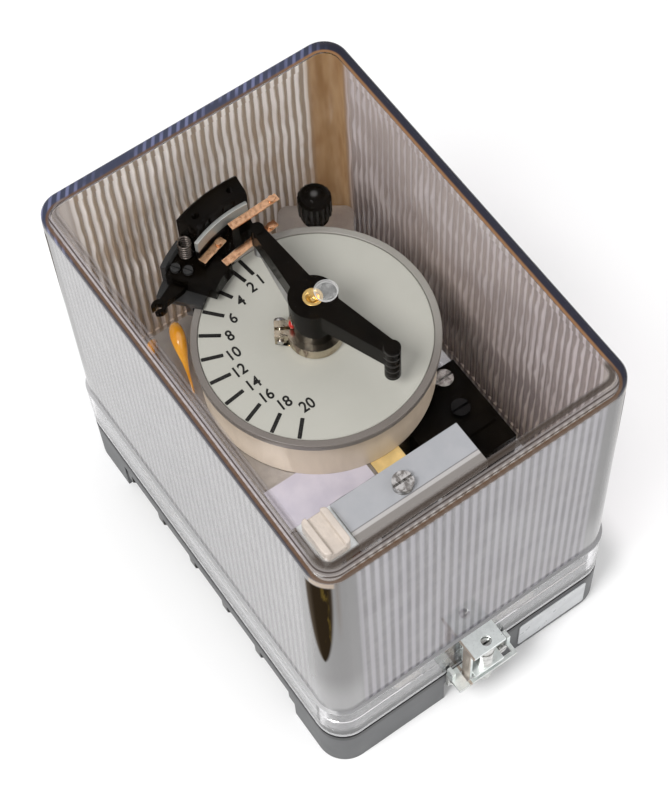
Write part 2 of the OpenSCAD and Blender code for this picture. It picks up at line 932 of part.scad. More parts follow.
// Release lever: fork round the plunger's neck, tail into the movement and a side arm
// with the moving contact
module release_lever() {
    fork_l = fork_d + neck_r + 1.4;
    fork_w = 2 * neck_r + 4;
    barrel_r = 2.1;
    tail_w = 6;
    tail_l = pivot_z - yoke_z - ear_t - 0.6;
    barrel_half = stand_half - ear_t - play;
    color("#c2b280")
        translate([coil_x, pivot_y, pivot_z])
            difference() {
                union() {
                    rotate([0, 90, 0])
                        rod(barrel_r, -barrel_half, 2 * barrel_half);
                    difference() {
                        translate([-fork_w / 2, -fork_l, -lever_t / 2])
                            cube([fork_w, fork_l, lever_t]);
                        translate([-neck_r - 0.3, -fork_l - 1, -lever_t])
                            cube([2 * neck_r + 0.6, fork_l - fork_d + 1, 2 * lever_t]);
                        translate([0, -fork_d, -lever_t])
                            cylinder(r = neck_r + 0.3, h = 2 * lever_t, $fn = 32);
                    }
                    translate([-tail_w / 2, -barrel_r, -tail_l])
                        cube([tail_w, 1.4, tail_l]);
                    translate([0, side_arm_y - 1.6, -lever_t / 2])
                        cube([contact_x + 2, 3.2, lever_t]);
                    translate([contact_x, side_arm_y, -1.9])
                        cylinder(r = 1.4, h = 3.8, $fn = 32);
                }
                translate([-barrel_half - 1, 0, 0])
                    rotate([0, 90, 0])
                        rod(pivot_r + run, 0, 2 * barrel_half + 2);
            }
}

ledge_w = 14;
ledge_l = 4;
ledge_h = 1.2;
slot_w = 4.4;
slot_l = 8;
slot_h = 5;

// Black moulded block of the changeover switch, hollowed to clear the clock
module switch_block() {
    color("#151515")
        difference() {
            union() {
                translate([switch_x[0], switch_y[0], switch_low])
                    cube([switch_x[1] - switch_x[0], switch_y[1] - switch_y[0], switch_h]);
                translate([switch_x[1] - ledge_w - 2, switch_y[0] + 7, switch_z - eps])
                    cube([ledge_w, ledge_l, ledge_h]);
            }
            at_clock()
                rod(post_ring + post_r + 0.8, switch_low - 1, switch_h + 4);
            for (p = switch_screw_at)
                translate([p[0], p[1], 0])
                    rod(1.3 + run, switch_z - 8, 12);
            translate([switch_x[0] - 1, switch_y[0] - 1, switch_z - slot_h])
                cube([slot_w, slot_l, slot_h + 1]);
        }
}

switch_screw_at = [
    [switch_x[1] - 6.4, switch_y[1] - 4.3],
    [switch_x[1] - 8.1, switch_y[1] - 14.6]
];

// Screws of the switch block
module switch_screws() {
    color("silver")
        for (p = switch_screw_at)
            translate([p[0], p[1], switch_z])
                screw(2.8, 2.2, 1.3, 7);
}

// Fixed contacts above and below the moving one
module switch_contacts() {
    t = 0.5;
    w = 3.6;
    x0 = coil_x + contact_x - 2.2;
    x1 = switch_x[0] + 7;
    y0 = pivot_y + side_arm_y - w / 2;
    high = pivot_z + 1.9 + 0.25;
    low = pivot_z - 1.9 - 2.2;
    color("#b87333") {
        translate([0, y0, 0])
            rotate([90, 0, 0])
                mirror([0, 0, 1])
                    linear_extrude(w)
                        polygon([
                            [x0, high], [x1, high], [x1, switch_z], [x1 + 4, switch_z],
                            [x1 + 4, switch_z + t], [x1 + t, switch_z + t], [x1 + t, high + t],
                            [x0, high + t]]);
        translate([0, y0, 0])
            rotate([90, 0, 0])
                mirror([0, 0, 1])
                    linear_extrude(w)
                        polygon([
                            [x0 - 0.8, low - t], [switch_x[0], low - t],
                            [switch_x[0], switch_low + 4], [switch_x[0] - t, switch_low + 4],
                            [switch_x[0] - t, low - 2 * t], [x0 - 0.8, low - 2 * t]]);
    }
}

// Lower plate of the clock
module lower_plate() {
    color("#c9a85a")
        at_clock()
            difference() {
                translate([0, 0, lower_z])
                    linear_extrude(plate_t)
                        circle(plate_r, $fn = 120);
                clock_holes(lower_z);
            }
}

// Holes of the arbors in a clock plate
module clock_holes(z) {
    rod(arbor_r + run, z - 1, plate_t + 2);
    for (p = [second_pos, escape_pos, pallet_pos])
        translate([p[0], p[1], 0])
            rod(pivot_r + run, z - 1, plate_t + 2);
}

ear_half = 11.3;
ear_reach = 54.8;
ear_side = 1.4;

wing_w = 32;
wing_l = 74;
wing_reach = 37.5;

// Upper plate of the clock: disc, ear for the knob and wing for the labels and leads
module upper_plate() {
    color("#9d9f9f")
        difference() {
            translate([0, 0, upper_z])
                linear_extrude(plate_t) {
                    translate([axis_x, axis_y])
                        circle(plate_r, $fn = 120);
                    translate([axis_x, axis_y])
                        rotate([0, 0, knob_az - 1])
                            translate([ear_reach - 20, ear_side])
                                plan(40, 2 * ear_half, 3);
                    translate([axis_x - wing_reach, axis_y - wing_reach])
                        square([wing_w, wing_l]);
                }
            at_clock()
                clock_holes(upper_z);
            round_clock(knob_az, knob_reach)
                rod(knob_stud_r + run, upper_z - 1, plate_t + 2);
        }
}

// Pillars between the two clock plates
module pillars() {
    color("#d0b060")
        for (a = post_az)
            round_clock(a, post_ring)
                rod(post_r - 0.6, plate_top_z, upper_z - plate_top_z);
}

// Spiral drive spring, hooked over a stud at its outer end
module drive_spring() {
    r_in = arbor_r + 0.6;
    r_out = 14;
    t = 0.5;
    steps = drive_turns * 16;
    inner = [for (i = [0 : steps])
        polar(r_in + (r_out - r_in) * i / steps, i * 360 / 16)];
    outer = [for (i = [steps : -1 : 0])
        polar(r_in + t + (r_out - r_in) * i / steps, i * 360 / 16)];
    color("#6f7f90")
        at_clock() {
            translate([0, 0, spring_z])
                linear_extrude(spring_w)
                    polygon(concat(inner, outer));
            translate([r_out + t + 0.6, 0, 0])
                rod(1.2, plate_top_z, spring_w + 2);
        }
}

// Main arbor of the clock, up through the drum into the arm
module main_arbor() {
    color("#b0b4b8")
        at_clock()
            rod(arbor_r, lower_z - 1.5, arm_z - 3 - lower_z + 1.5);
}

// Main wheel of sixty teeth on its collet
module main_wheel() {
    color("#d4af5a")
        at_clock()
            translate([0, 0, main_z]) {
                difference() {
                    gear(main_teeth, first_module, wheel_t, arbor_r + run);
                    wheel_windows(5.5, 15.5, 5);
                }
                difference() {
                    rod(4, wheel_t - eps, 2.5);
                    rod(arbor_r + run, -1, 6);
                }
            }
}

// Turn that sets a driven gear in mesh with the gear that drives it
function mesh_turn(az, n_driver, n_driven, driver_turn) =
    az + 180 + 180 / n_driven + (az - driver_turn) * n_driver / n_driven;

first_turn = mesh_turn(second_az, main_teeth, pinion_teeth, 0);
second_turn = mesh_turn(escape_az, second_teeth, escape_pinion_teeth, first_turn);

// Second wheel riveted to its pinion arbor
module second_wheel() {
    color("#d4af5a")
        at_clock()
            translate([second_pos[0], second_pos[1], 0]) {
                rod(pivot_r, lower_z, upper_z + plate_t - lower_z);
                translate([0, 0, main_z - 1])
                    gear(pinion_teeth, first_module, wheel_t + 2, 0, first_turn);
                translate([0, 0, second_z])
                    rotate([0, 0, first_turn])
                        difference() {
                            gear(second_teeth, second_module, wheel_t, 0);
                            wheel_windows(3.4, 10, 4);
                        }
                rod(2.2, second_z - 1, main_z - second_z);
            }
}

// Escape wheel riveted to its pinion arbor
module escape_wheel() {
    color("#d4af5a")
        at_clock()
            translate([escape_pos[0], escape_pos[1], 0]) {
                rod(pivot_r, lower_z, upper_z + plate_t - lower_z);
                translate([0, 0, second_z - 1])
                    gear(escape_pinion_teeth, second_module, wheel_t + 2, 0, second_turn);
                translate([0, 0, escape_z])
                    rotate([0, 0, second_turn])
                        linear_extrude(wheel_t)
                            polygon([for (i = [0 : escape_teeth - 1])
                                each [polar(escape_r - 1.8, (i - 0.42) * 360 / escape_teeth),
                                      polar(escape_r, i * 360 / escape_teeth),
                                      polar(escape_r - 1.8, (i + 0.1) * 360 / escape_teeth)]]);
                rod(1.7, escape_z, second_z - escape_z - 0.5);
            }
}

// Pallet fork on its arbor, with a small bar that steadies it
module pallet_fork() {
    span = 7.2;
    color("#b8bcc0")
        at_clock()
            translate([pallet_pos[0], pallet_pos[1], 0])
                rotate([0, 0, pallet_az + 180]) {
                    rod(pivot_r, lower_z, upper_z + plate_t - lower_z);
                    rod(2, escape_z, wheel_t);
                    translate([0, 0, escape_z])
                        linear_extrude(wheel_t)
                            for (s = [-1, 1])
                                polygon([
                                    [-0.6, s * 1.2], [1.2, s * 0.4], [2.4, s * (span - 1.6)],
                                    [4.6, s * (span - 1.4)], [2.2, s * span], [0.9, s * span]]);
                    rod(1.6, escape_z + wheel_t, 4);
                    translate([-2, -1, escape_z + wheel_t + 3])
                        cube([8, 2, 1]);
                }
}

// Drum over the clock, open below, with a rim round the dial
module drum() {
    color("#b9a88c")
        at_clock()
            difference() {
                union() {
                    rod(drum_r, drum_z, drum_h - rim_h + eps);
                    rod(rim_r, rim_z - rim_h, rim_h);
                }
                rod(drum_r - drum_t, drum_z - 1, drum_h - rim_h + 1);
                rod(dial_r + 0.1, dial_z - dial_t, 5);
                rod(arbor_r + run, rim_z - rim_h - 1, 5);
            }
}

// Scale dial
module dial() {
    color("#d9d8cc")
        at_clock()
            difference() {
                rod(dial_r, dial_z - dial_t, dial_t);
                rod(arbor_r + 1, dial_z - 2, 4);
            }
}

// Limb of the arm in plan, from the hub to a round end
module limb(reach, half_in, half_out) {
    polygon([[0, -half_in], [reach, -half_out], [reach, half_out], [0, half_in]]);
    translate([reach, 0])
        circle(half_out, $fn = 40);
}

hub_low = dial_z + 4.2;
hub_h = 9;
tip_r = 1.9;
bush_r = 2.9;

// Moulded arm with a contact limb and a peg limb
module arm() {
    color("#0f0f10")
        at_clock()
            difference() {
                union() {
                    rod(hub_r, arm_z - hub_h, hub_h);
                    rod(hub_r - 0.8, hub_low, arm_z - hub_h - hub_low + eps);
                    translate([0, 0, arm_z - limb_t])
                        linear_extrude(limb_t) {
                            rotate([0, 0, contact_az])
                                limb(contact_reach - tip_r, 3.6, tip_r - 0.2);
                            rotate([0, 0, peg_az])
                                limb(peg_reach, 4.2, peg_r - 0.2);
                        }
                    rotate([0, 0, contact_az])
                        translate([contact_reach - tip_r, 0, 0])
                            rod(tip_r, arm_z - limb_t, limb_t + 0.4);
                    rotate([0, 0, peg_az])
                        translate([peg_reach, 0, 0])
                            rod(peg_r, arm_z - 13.6, 14.4);
                }
                rod(arbor_r + run, hub_low - 1, arm_z);
                rod(bush_r, arm_z - 3, 4);
            }
}

// Brass bush in the top of the hub
module hub_bush() {
    color("#c79a3b")
        at_clock()
            difference() {
                rod(bush_r - 0.05, arm_z - 3, 3.1);
                translate([0, 0, arm_z - 1.6])
                    cylinder(r1 = 0.6, r2 = 2.1, h = 1.8, $fn = 40);
            }
}

collar_r2 = 8;
lug_az = 148;

// Split collar under the hub with two lugs
module hub_collar() {
    lug_gap = 1;
    color("#b59a5c")
        at_clock()
            difference() {
                union() {
                    rod(collar_r2, dial_z + play, hub_low - dial_z - play);
                    rotate([0, 0, lug_az])
                        translate([collar_r2 - 1.5, -2.6, dial_z + play])
                            cube([4.8, 5.2, hub_low - dial_z - play]);
                }
                rod(arbor_r + run, dial_z, 8);
                rotate([0, 0, lug_az])
                    translate([arbor_r, -lug_gap / 2, dial_z])
                        cube([12, lug_gap, 8]);
                rotate([0, 0, lug_az])
                    translate([collar_r2 + 1.7, 0, dial_z + play + 1.9])
                        rotate([90, 0, 0])
                            rod(0.9 + run, -5, 10);
            }
}

// Clamp screw of the collar
module collar_screw() {
    color("#cfcfd2")
        at_clock()
            rotate([0, 0, lug_az])
                translate([collar_r2 + 1.7, -2.6, dial_z + play + 1.9])
                    rotate([90, 0, 0])
                        screw(1.7, 1.2, 0.9, 6.2);
}

// Contact spring under the contact limb, with its tip
module arm_contact() {
    strip_h = 5.5;
    strip_z = arm_z - limb_t - strip_h;
    strip_l = contact_reach - hub_r - 3.3;
    color("#8d9094")
        at_clock()
            rotate([0, 0, contact_az]) {
                translate([hub_r + 0.4, 2.6, strip_z])
                    rotate([0, 0, -atan2(2.6, strip_l)])
                        cube([strip_l, 0.7, strip_h]);
                translate([contact_reach - tip_r, 0, 0])
                    rod(1.6, strip_z, strip_h - 0.6);
            }
}

// Clamp of the contact block round the drum's rim, with an upright at its outer edge
module block_bracket() {
    wall = 1.5;
    jaw_in = drum_r + 0.4;
    jaw_out = rim_r + 0.5;
    color("#3a3c3c") {
        sector(clamp_az - clamp_span, clamp_span)
            polygon([
                [jaw_in, jaw_z - 1.4], [jaw_out + 1.9, jaw_z - 1.4], [jaw_out + 1.9, clamp_z],
                [block_r, clamp_z], [block_r, web_z], [rim_r - 2.5, web_z],
                [rim_r - 2.5, clamp_z], [jaw_out, clamp_z], [jaw_out, jaw_z], [jaw_in, jaw_z]]);
        sector(clamp_az - 19, 12)
            translate([block_r - wall, web_z - eps])
                square([wall, 7.5]);
    }
}

// Moulded body of the block: a bed, a box that carries the leaves and an arc-shaped cover
module block_body() {
    bed_in = 29;
    bed_out = block_r - 1.7;
    color("#111111")
        difference() {
            union() {
                sector(clamp_az - 47, 41)
                    translate([34.6, web_z])
                        square([bed_out - 34.6, bed_h]);
                sector(clamp_az - 24, 18)
                    translate([bed_in, web_z])
                        square([bed_out - bed_in, bed_h]);
                sector(body_az, body_span)
                    polygon([
                        [body_in, web_z + bed_h - 1.2], [block_r, web_z + bed_h - 1.2],
                        [block_r, block_top - 0.8], [block_r - 0.8, block_top],
                        [body_in + 0.8, block_top], [body_in, block_top - 0.8]]);
                round_clock(body_az + 11, body_in - 3.5)
                    translate([-0.8, -1.2, web_z + bed_h - eps])
                        cube([1.6, 2.4, leaf_a_z - web_z - bed_h + eps]);
                round_clock(clamp_az - 17, body_in - 3.2)
                    translate([-1.3, -1.4, web_z + bed_h - eps])
                        cube([2.6, 2.8, leaf_d_z - web_z - bed_h + eps]);
            }
            for (a = [body_az + 5, body_az + body_span - 5])
                round_clock(a, block_r - 3.8)
                    rod(1.1, block_top - 3, 4);
        }
}

// Steel plate at the inner face of the moulding
module block_plate() {
    color("#aeb2b4")
        sector(body_az + 1, body_span + 2)
            translate([body_in - 1.4, web_z + bed_h])
                square([1.2, 8.4]);
}

// Contact leaf lying flat, between two points given by distance and direction from the
// clock axis, with a contact at its end
module leaf(from, to, z) {
    start = polar(from[0], from[1]);
    d = polar(to[0], to[1]) - start;
    at_clock()
        translate([start[0], start[1], z])
            rotate([0, 0, atan2(d[1], d[0])]) {
                translate([0, -leaf_w / 2, 0])
                    cube([norm(d), leaf_w, leaf_t]);
                translate([norm(d) - 2, 0, 0])
                    cylinder(r = 1, h = leaf_t + 0.8, $fn = 24);
            }
}

// Copper contact leaves of the block
module block_contacts() {
    color("#b8773f") {
        leaf([body_in - 3.6, body_az + 13], [body_in - 1.2, body_az - 12.5], leaf_a_z);
        leaf([body_in - 7.7, clamp_az - 21.9], [body_in - 5.5, body_az - 9.3], web_z + bed_h);
        leaf([body_in - 3, clamp_az - 15.5], [body_in - 3, clamp_az - 30.5], leaf_d_z);
    }
}

// Finger with a hooked end on the clamp
module block_finger() {
    finger_t = 2.4;
    color("#141414")
        at_clock()
            translate([0, 0, web_z])
                linear_extrude(finger_t) {
                    polygon([
                        polar(38, clamp_az - 5), polar(42.5, clamp_az - 5),
                        polar(44.4, clamp_az + 4), polar(42, clamp_az + 4)]);
                    translate(polar(43.6, clamp_az + 5))
                        difference() {
                            circle(2.2, $fn = 32);
                            circle(1, $fn = 24);
                            rotate([0, 0, clamp_az + 60])
                                translate([0, -0.6])
                                    square([4, 1.2]);
                        }
                }
}

// Small coil spring at the end of the moulding
module block_spring() {
    color("#9a9a96")
        round_clock(body_az + body_span + 3.5, 41.6)
            translate([0, 0, web_z + bed_h])
                coil_spring(1.8, 0.35, 7, 6);
}

// Screws that hold the moulding to the clamp
module block_screws() {
    color("#26282a")
        for (p = [[clamp_az - 10.5, 38.4], [clamp_az - 9.5, 42]])
            round_clock(p[0], p[1])
                translate([0, 0, web_z + bed_h])
                    difference() {
                        rod(1.4, 0, 1.2);
                        translate([-2, -0.2, 0.7])
                            cube([4, 0.4, 2]);
                    }
}

// Fluted knob
module knob() {
    foot_h = 3;
    color("#111112")
        round_clock(knob_az, knob_reach)
            difference() {
                union() {
                    rod(knob_r, knob_top - knob_h + foot_h, knob_h - foot_h - 1);
                    translate([0, 0, knob_top - 1 - eps])
                        cylinder(r1 = knob_r, r2 = knob_r - 0.9, h = 1 + eps, $fn = 40);
                    translate([0, 0, knob_top - eps])
                        cylinder(r1 = knob_r - 1.6, r2 = knob_r - 3.2, h = 0.9, $fn = 40);
                    rod(knob_r - 0.9, knob_top - knob_h, foot_h + eps);
                }
                for (i = [0 : 17])
                    rotate([0, 0, i * 20])
                        translate([knob_r + 0.25, 0, 0])
                            rod(0.55, knob_top - knob_h + foot_h - 1, knob_h);
                rod(knob_stud_r + run, knob_top - knob_h - 1, 7);
            }
}

// Stud of the knob, through the ear of the upper plate
module knob_stud() {
    color("silver")
        round_clock(knob_az, knob_reach) {
            rod(knob_stud_r, upper_z - 4, knob_top - knob_h + 5.5 - upper_z + 4);
            difference() {
                rod(knob_stud_r * 2, upper_z + plate_t, 2);
                rod(knob_stud_r - eps, upper_z, 6);
            }
        }
}

shelf_t = 1.2;
shelf_x = [coil_x - 28, coil_x + 25.5];
shelf_y = [coil_y - 1.2, coil_y + 12.8];
leg_x = [coil_x - yoke_w / 2 + 0.3, coil_x + yoke_w / 2 - 0.3 - shelf_t];

// Bracket of the name plate, standing on the yoke
module nameplate_bracket() {
    leg_y = [shelf_y[0], shelf_y[0] + 6.8];
    color("#b4b8ba")
        difference() {
            union() {
                translate([shelf_x[0], shelf_y[0], shelf_z - shelf_t])
                    cube([shelf_x[1] - shelf_x[0], shelf_y[1] - shelf_y[0], shelf_t]);
                for (x = leg_x)
                    translate([x, leg_y[0], yoke_z])
                        cube([shelf_t, leg_y[1] - leg_y[0], shelf_z - yoke_z - eps]);
            }
            translate([name_screw_x, name_screw_y, 0])
                rod(name_screw_r + run, shelf_z - 3, 4);
        }
}

name_screw_x = coil_x + 2.5;
name_screw_y = shelf_y[0] + 7;
name_screw_r = 1.5;
name_t = 0.8;

// Bare name plate with its front edge folded down
module nameplate() {
    color("#b9c3cc")
        difference() {
            union() {
                translate([shelf_x[1] - name_w - 0.2, shelf_y[0] - name_t - 0.05, shelf_z])
                    cube([name_w, name_l + name_t, name_t]);
                translate([shelf_x[1] - name_w - 0.2, shelf_y[0] - name_t - 0.05, shelf_z - 3])
                    cube([name_w, name_t, 3 + name_t]);
            }
            translate([name_screw_x, name_screw_y, 0])
                rod(name_screw_r + run, shelf_z - 3, 6);
        }
}

// Screw of the name plate
module nameplate_screw() {
    color("#d0d0d0")
        translate([name_screw_x, name_screw_y, shelf_z + name_t])
            screw(3.1, 2.6, name_screw_r, 4.5);
}

lead_block_w = 8.6;
lead_block_l = 12.6;
lead_block_h = 5;
lead_slot_w = 4.4;
lead_slot_h = 1.8;

// Beige block that holds the coil leads
module lead_block() {
    color("#d8ccb0")
        translate([shelf_x[0] + 0.7 + lead_block_w / 2, shelf_y[0] + 0.3 + lead_block_l / 2, shelf_z])
            difference() {
                linear_extrude(lead_block_h)
                    plan(lead_block_w, lead_block_l, 1.6);
                translate([-lead_slot_w / 2, -lead_block_l, lead_block_h - lead_slot_h])
                    cube([lead_slot_w, 2 * lead_block_l, lead_slot_h + 1]);
            }
}

insulation_w = 9.5;
insulation_l = 8;
insulation_reach = 4.7;
insulation_low = 0.5;

// Yellow insulation piece at the edge of the upper plate
module insulation_block() {
    color("#e0c870")
        difference() {
            translate([axis_x - 5.5, axis_y - plate_r - insulation_reach, upper_z - insulation_low])
                cube([insulation_w, insulation_l, insulation_low + plate_t]);
            at_clock()
                rod(plate_r + 0.05, upper_z - 8, 12);
        }
}

// Routes of the leads in their amber sleeves
lead_a = [[-31.5, 24, 78], [-31.5, 24, 80], [-31.4, 24.4, 82.4], [-31.1, 25.6, 84.8],
          [-30.6, 27.6, 86.8], [-29.9, 30.2, 88], [-29, 33, 88.4], [-28, 35.8, 87.8],
          [-27, 38.4, 86.2], [-26.2, 40.4, 84], [-25.7, 41.6, 81.6], [-25.5, 42, 79.6],
          [-25.5, 42, 78]];
lead_b = [[-40.5, 36, 26], [-40.5, 36, 30], [-40.4, 35.8, 38], [-40.1, 35.4, 46], [-39.8, 35, 54],
          [-39.5, 34.8, 62], [-39.3, 34.8, 69], [-39.1, 35, 75], [-38.6, 35.8, 79.6],
          [-37.6, 37, 82.6], [-36.2, 38.6, 84.2], [-34.6, 40.2, 84.4], [-33.2, 41.6, 83.2],
          [-32.4, 42.4, 81], [-32.2, 42.6, 79.2], [-32.2, 42.6, 78]];

// Leads in amber sleeves
module leads() {
    color("#c8861e") {
        tube(lead_a, 1.9, [3, -1, 0]);
        tube(lead_b, 1.4, [4, -5, 0]);
    }
}

base();
terminal_block_left();
terminal_block_right();
terminal_studs();
terminal_nuts();
gasket();
front_label();
latch_bracket_front();
latch_bracket_rear();
bracket_screws();
cover();
cover_bracket_front();
cover_bracket_rear();
cover_screw_front();
cover_screw_rear();
chassis();
chassis_screws();
standoff_posts();
yoke();
bobbin();
winding();
plunger();
return_spring();
lever_stand();
lever_pin();
release_lever();
switch_block();
switch_contacts();
switch_screws();
lower_plate();
upper_plate();
pillars();
drive_spring();
main_arbor();
main_wheel();
second_wheel();
escape_wheel();
pallet_fork();
drum();
dial();
arm();
hub_bush();
hub_collar();
collar_screw();
arm_contact();
block_bracket();
block_body();
block_plate();
block_contacts();
block_finger();
block_spring();
block_screws();
knob();
knob_stud();
nameplate_bracket();
nameplate();
nameplate_screw();
lead_block();
insulation_block();
leads();
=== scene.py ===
"""Looks of the clockwork time relay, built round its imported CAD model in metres."""
import json
import math
from contextlib import contextmanager
from types import SimpleNamespace

import bmesh
import bpy
from mathutils import Matrix, Vector

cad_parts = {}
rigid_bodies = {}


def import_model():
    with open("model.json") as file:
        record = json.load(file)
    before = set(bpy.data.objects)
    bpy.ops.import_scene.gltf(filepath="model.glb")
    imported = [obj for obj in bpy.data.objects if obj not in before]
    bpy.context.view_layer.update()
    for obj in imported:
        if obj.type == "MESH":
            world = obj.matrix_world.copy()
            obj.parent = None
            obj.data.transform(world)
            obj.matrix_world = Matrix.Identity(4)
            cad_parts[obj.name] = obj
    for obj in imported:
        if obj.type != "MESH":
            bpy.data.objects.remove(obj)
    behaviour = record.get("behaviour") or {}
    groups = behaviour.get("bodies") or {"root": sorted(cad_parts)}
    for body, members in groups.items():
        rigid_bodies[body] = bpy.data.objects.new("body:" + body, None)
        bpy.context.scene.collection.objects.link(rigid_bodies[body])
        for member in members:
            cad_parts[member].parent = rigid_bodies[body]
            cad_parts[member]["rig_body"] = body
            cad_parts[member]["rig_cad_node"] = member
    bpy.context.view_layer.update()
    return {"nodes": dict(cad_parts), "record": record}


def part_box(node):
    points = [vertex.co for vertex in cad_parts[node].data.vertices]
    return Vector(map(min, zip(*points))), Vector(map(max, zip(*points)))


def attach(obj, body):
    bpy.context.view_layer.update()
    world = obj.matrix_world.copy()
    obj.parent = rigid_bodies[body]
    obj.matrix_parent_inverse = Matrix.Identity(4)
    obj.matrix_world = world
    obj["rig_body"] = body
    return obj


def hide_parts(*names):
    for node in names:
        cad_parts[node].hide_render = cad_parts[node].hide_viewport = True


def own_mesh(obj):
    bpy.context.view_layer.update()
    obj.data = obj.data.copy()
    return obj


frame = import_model()
nodes = frame["nodes"]

SLOT = {part["node"]: part["material_slot"] for part in frame["record"]["subparts"]}
MM = 0.001
CLOCK = Vector((1.5, 9.5)) * MM  # axis of the clock, in x and y
DIAL_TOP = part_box("dial")[1].z


# ---------------------------------------------------------------- shader nodes
class Wire:
    """A socket of a node tree that adds Math nodes when it is used in an expression."""

    def __init__(self, owner, socket):
        self.owner = owner
        self.socket = socket

    def math(self, operation, *values):
        return self.owner.add("ShaderNodeMath", dict(enumerate(values)), operation=operation)

    def __add__(self, other):
        return self.math("ADD", self, other)

    def __radd__(self, other):
        return self.math("ADD", other, self)

    def __sub__(self, other):
        return self.math("SUBTRACT", self, other)

    def __rsub__(self, other):
        return self.math("SUBTRACT", other, self)

    def __mul__(self, other):
        return self.math("MULTIPLY", self, other)

    def __rmul__(self, other):
        return self.math("MULTIPLY", other, self)

    def __truediv__(self, other):
        return self.math("DIVIDE", self, other)

    def __pow__(self, other):
        return self.math("POWER", self, other)

    def __abs__(self):
        return self.math("ABSOLUTE", self)

    def most(self, other):
        return self.math("MAXIMUM", self, other)

    def stripes(self, pitch):
        """Wave from -1 to 1 that repeats at each pitch in metres."""
        return self.math("COSINE", self * (2 * math.pi / pitch))

    def step(self, low, high):
        """0 at low, 1 at high and smooth between them, with low above high for a fall."""
        return self.owner.add(
            "ShaderNodeMapRange", {"Value": self, "From Min": low, "From Max": high},
            interpolation_type="SMOOTHSTEP")

    def within(self, rise, fall):
        """1 between two limits, each a pair for step."""
        return self.step(*rise) * self.step(*fall)

    def beside(self, name):
        """Another output of the same node."""
        return Wire(self.owner, self.socket.node.outputs[name])


def opaque(colour):
    """A colour for a socket: a wire as it is, or three numbers with an alpha of 1."""
    return colour if isinstance(colour, Wire) else (*colour, 1)


def scaled(colour, by, plus=0.0):
    return tuple(min(1, c * by + plus) for c in colour)


class Nodes:
    """The node tree of a material or a world, with one method that adds any node."""

    def __init__(self, owner):
        owner.use_nodes = True
        self.tree = owner.node_tree
        self.tree.nodes.clear()

    def add(self, kind, values=None, out=0, **settings):
        """Adds a node with its settings, and with a value or a wire for each input named."""
        node = self.tree.nodes.new(kind)
        for key, value in settings.items():
            setattr(node, key, value)
        for key, value in (values or {}).items():
            if isinstance(value, Wire):
                self.tree.links.new(value.socket, node.inputs[key])
            elif value is not None:
                node.inputs[key].default_value = value
        return Wire(self, node.outputs[out])

    def blend(self, factor, first, second):
        """The first shader at 0 and the second at 1."""
        return self.add("ShaderNodeMixShader", {0: factor, 1: first, 2: second})

    def show(self, shader, kind):
        output = self.tree.nodes.new(kind)
        self.tree.links.new(shader.socket, output.inputs["Surface"])


class Finish(Nodes):
    """A material, with the textures and shaders that the finishes are made of."""

    def __init__(self, name):
        self.material = bpy.data.materials.new(name)
        super().__init__(self.material)
        self.place = self.add("ShaderNodeTexCoord", out="Object")

    def axes(self):
        x = self.add("ShaderNodeSeparateXYZ", {0: self.place}, out="X")
        return x, x.beside("Y"), x.beside("Z")

    def noise(self, size, detail, stretch=None, offset=0):
        """Noise from 0 to 1 with features of a size in mm, stretched along the axes."""
        place = self.place
        if stretch or offset:
            place = self.add("ShaderNodeMapping", {
                "Vector": place, "Location": (offset, offset, offset),
                "Scale": tuple(1 / s for s in (stretch or (1, 1, 1)))})
        return self.add("ShaderNodeTexNoise", {
            "Vector": place, "Scale": 1 / (size * MM), "Detail": detail, "Roughness": 0.55})

    def mix(self, factor, first, second):
        """The first colour at 0 and the second at 1, on the node's sockets for colours."""
        return self.add("ShaderNodeMix", {0: factor, 6: opaque(first), 7: opaque(second)},
                        out=2, data_type="RGBA")

    def bump(self, height, strength, depth):
        """Bump with its depth in mm."""
        return self.add("ShaderNodeBump", {"Height": height, "Strength": strength,
                                           "Distance": depth * MM})

    def worn(self, radius=0.25):
        """1 along the convex edges of a solid, for wear and rounded highlights."""
        bevel = self.add("ShaderNodeBevel", {"Radius": radius * MM}, samples=4)
        normal = self.add("ShaderNodeNewGeometry", out="Normal")
        dot = self.add("ShaderNodeVectorMath", {0: bevel, 1: normal}, out="Value",
                       operation="DOT_PRODUCT")
        return dot.step(0.985, 0.8)

    def surface(self, colour, rough, metal=0.0, normal=None, **fixed):
        """Principled shader, with its other sockets named in lower case."""
        values = {"Base Color": opaque(colour), "Roughness": rough, "Metallic": metal,
                  "Normal": normal}
        for key, value in fixed.items():
            values[key.replace("_", " ").title().replace("Ior", "IOR")] = value
        return self.add("ShaderNodeBsdfPrincipled", values)

    def clear(self, colour):
        return self.add("ShaderNodeBsdfTransparent", {"Color": opaque(colour)})

    def done(self, shader):
        self.show(shader, "ShaderNodeOutputMaterial")
        return self.material


# ---------------------------------------------------------------- the clear cover
# Its measures are in metres, and a pair says where a zone starts and where it is full.
CORNER_X, CORNER_Y = 0.0410, 0.0600  # centres of the rounded corners
FLUTE_PITCH, RIM_LINE_PITCH = 0.0027, 0.0011
WINDOW_SHIFT = (0.0012, 0.0018)  # how far the thick rim moves the window's edge to the eye

# heights
TOP_FACE = (0.1330, 0.1340)
CEILING_HEIGHT = (0.1318, 0.1324)
GATE_HEIGHT = (0.1340, 0.1345)
MILK_HEIGHT = (0.0400, 0.0408)
FOOT_LINE_HEIGHT = (0.0418, 0.0414)
FOOT_EDGE_HEIGHT = (0.0236, 0.0230)

# reach from the rectangle of the corner centres
OUTER_FACE = (0.0062, 0.0068)
CEILING_EDGE = (0.00495, 0.0048)
WINDOW_EDGE = (0.0052, 0.0047)
RIM_EDGE = (0.0047, 0.0052)
LIP_EDGE = (0.0061, 0.0056)
NEAR_RIM_EDGE = (0.0044, 0.0050)
# the band of painted shadow over the window near the front and left edges
SHADE_BAND_REACH = ((0.0020, 0.0030), (0.0046, 0.0040))
FOOT_EDGE = (0.0076, 0.0079)

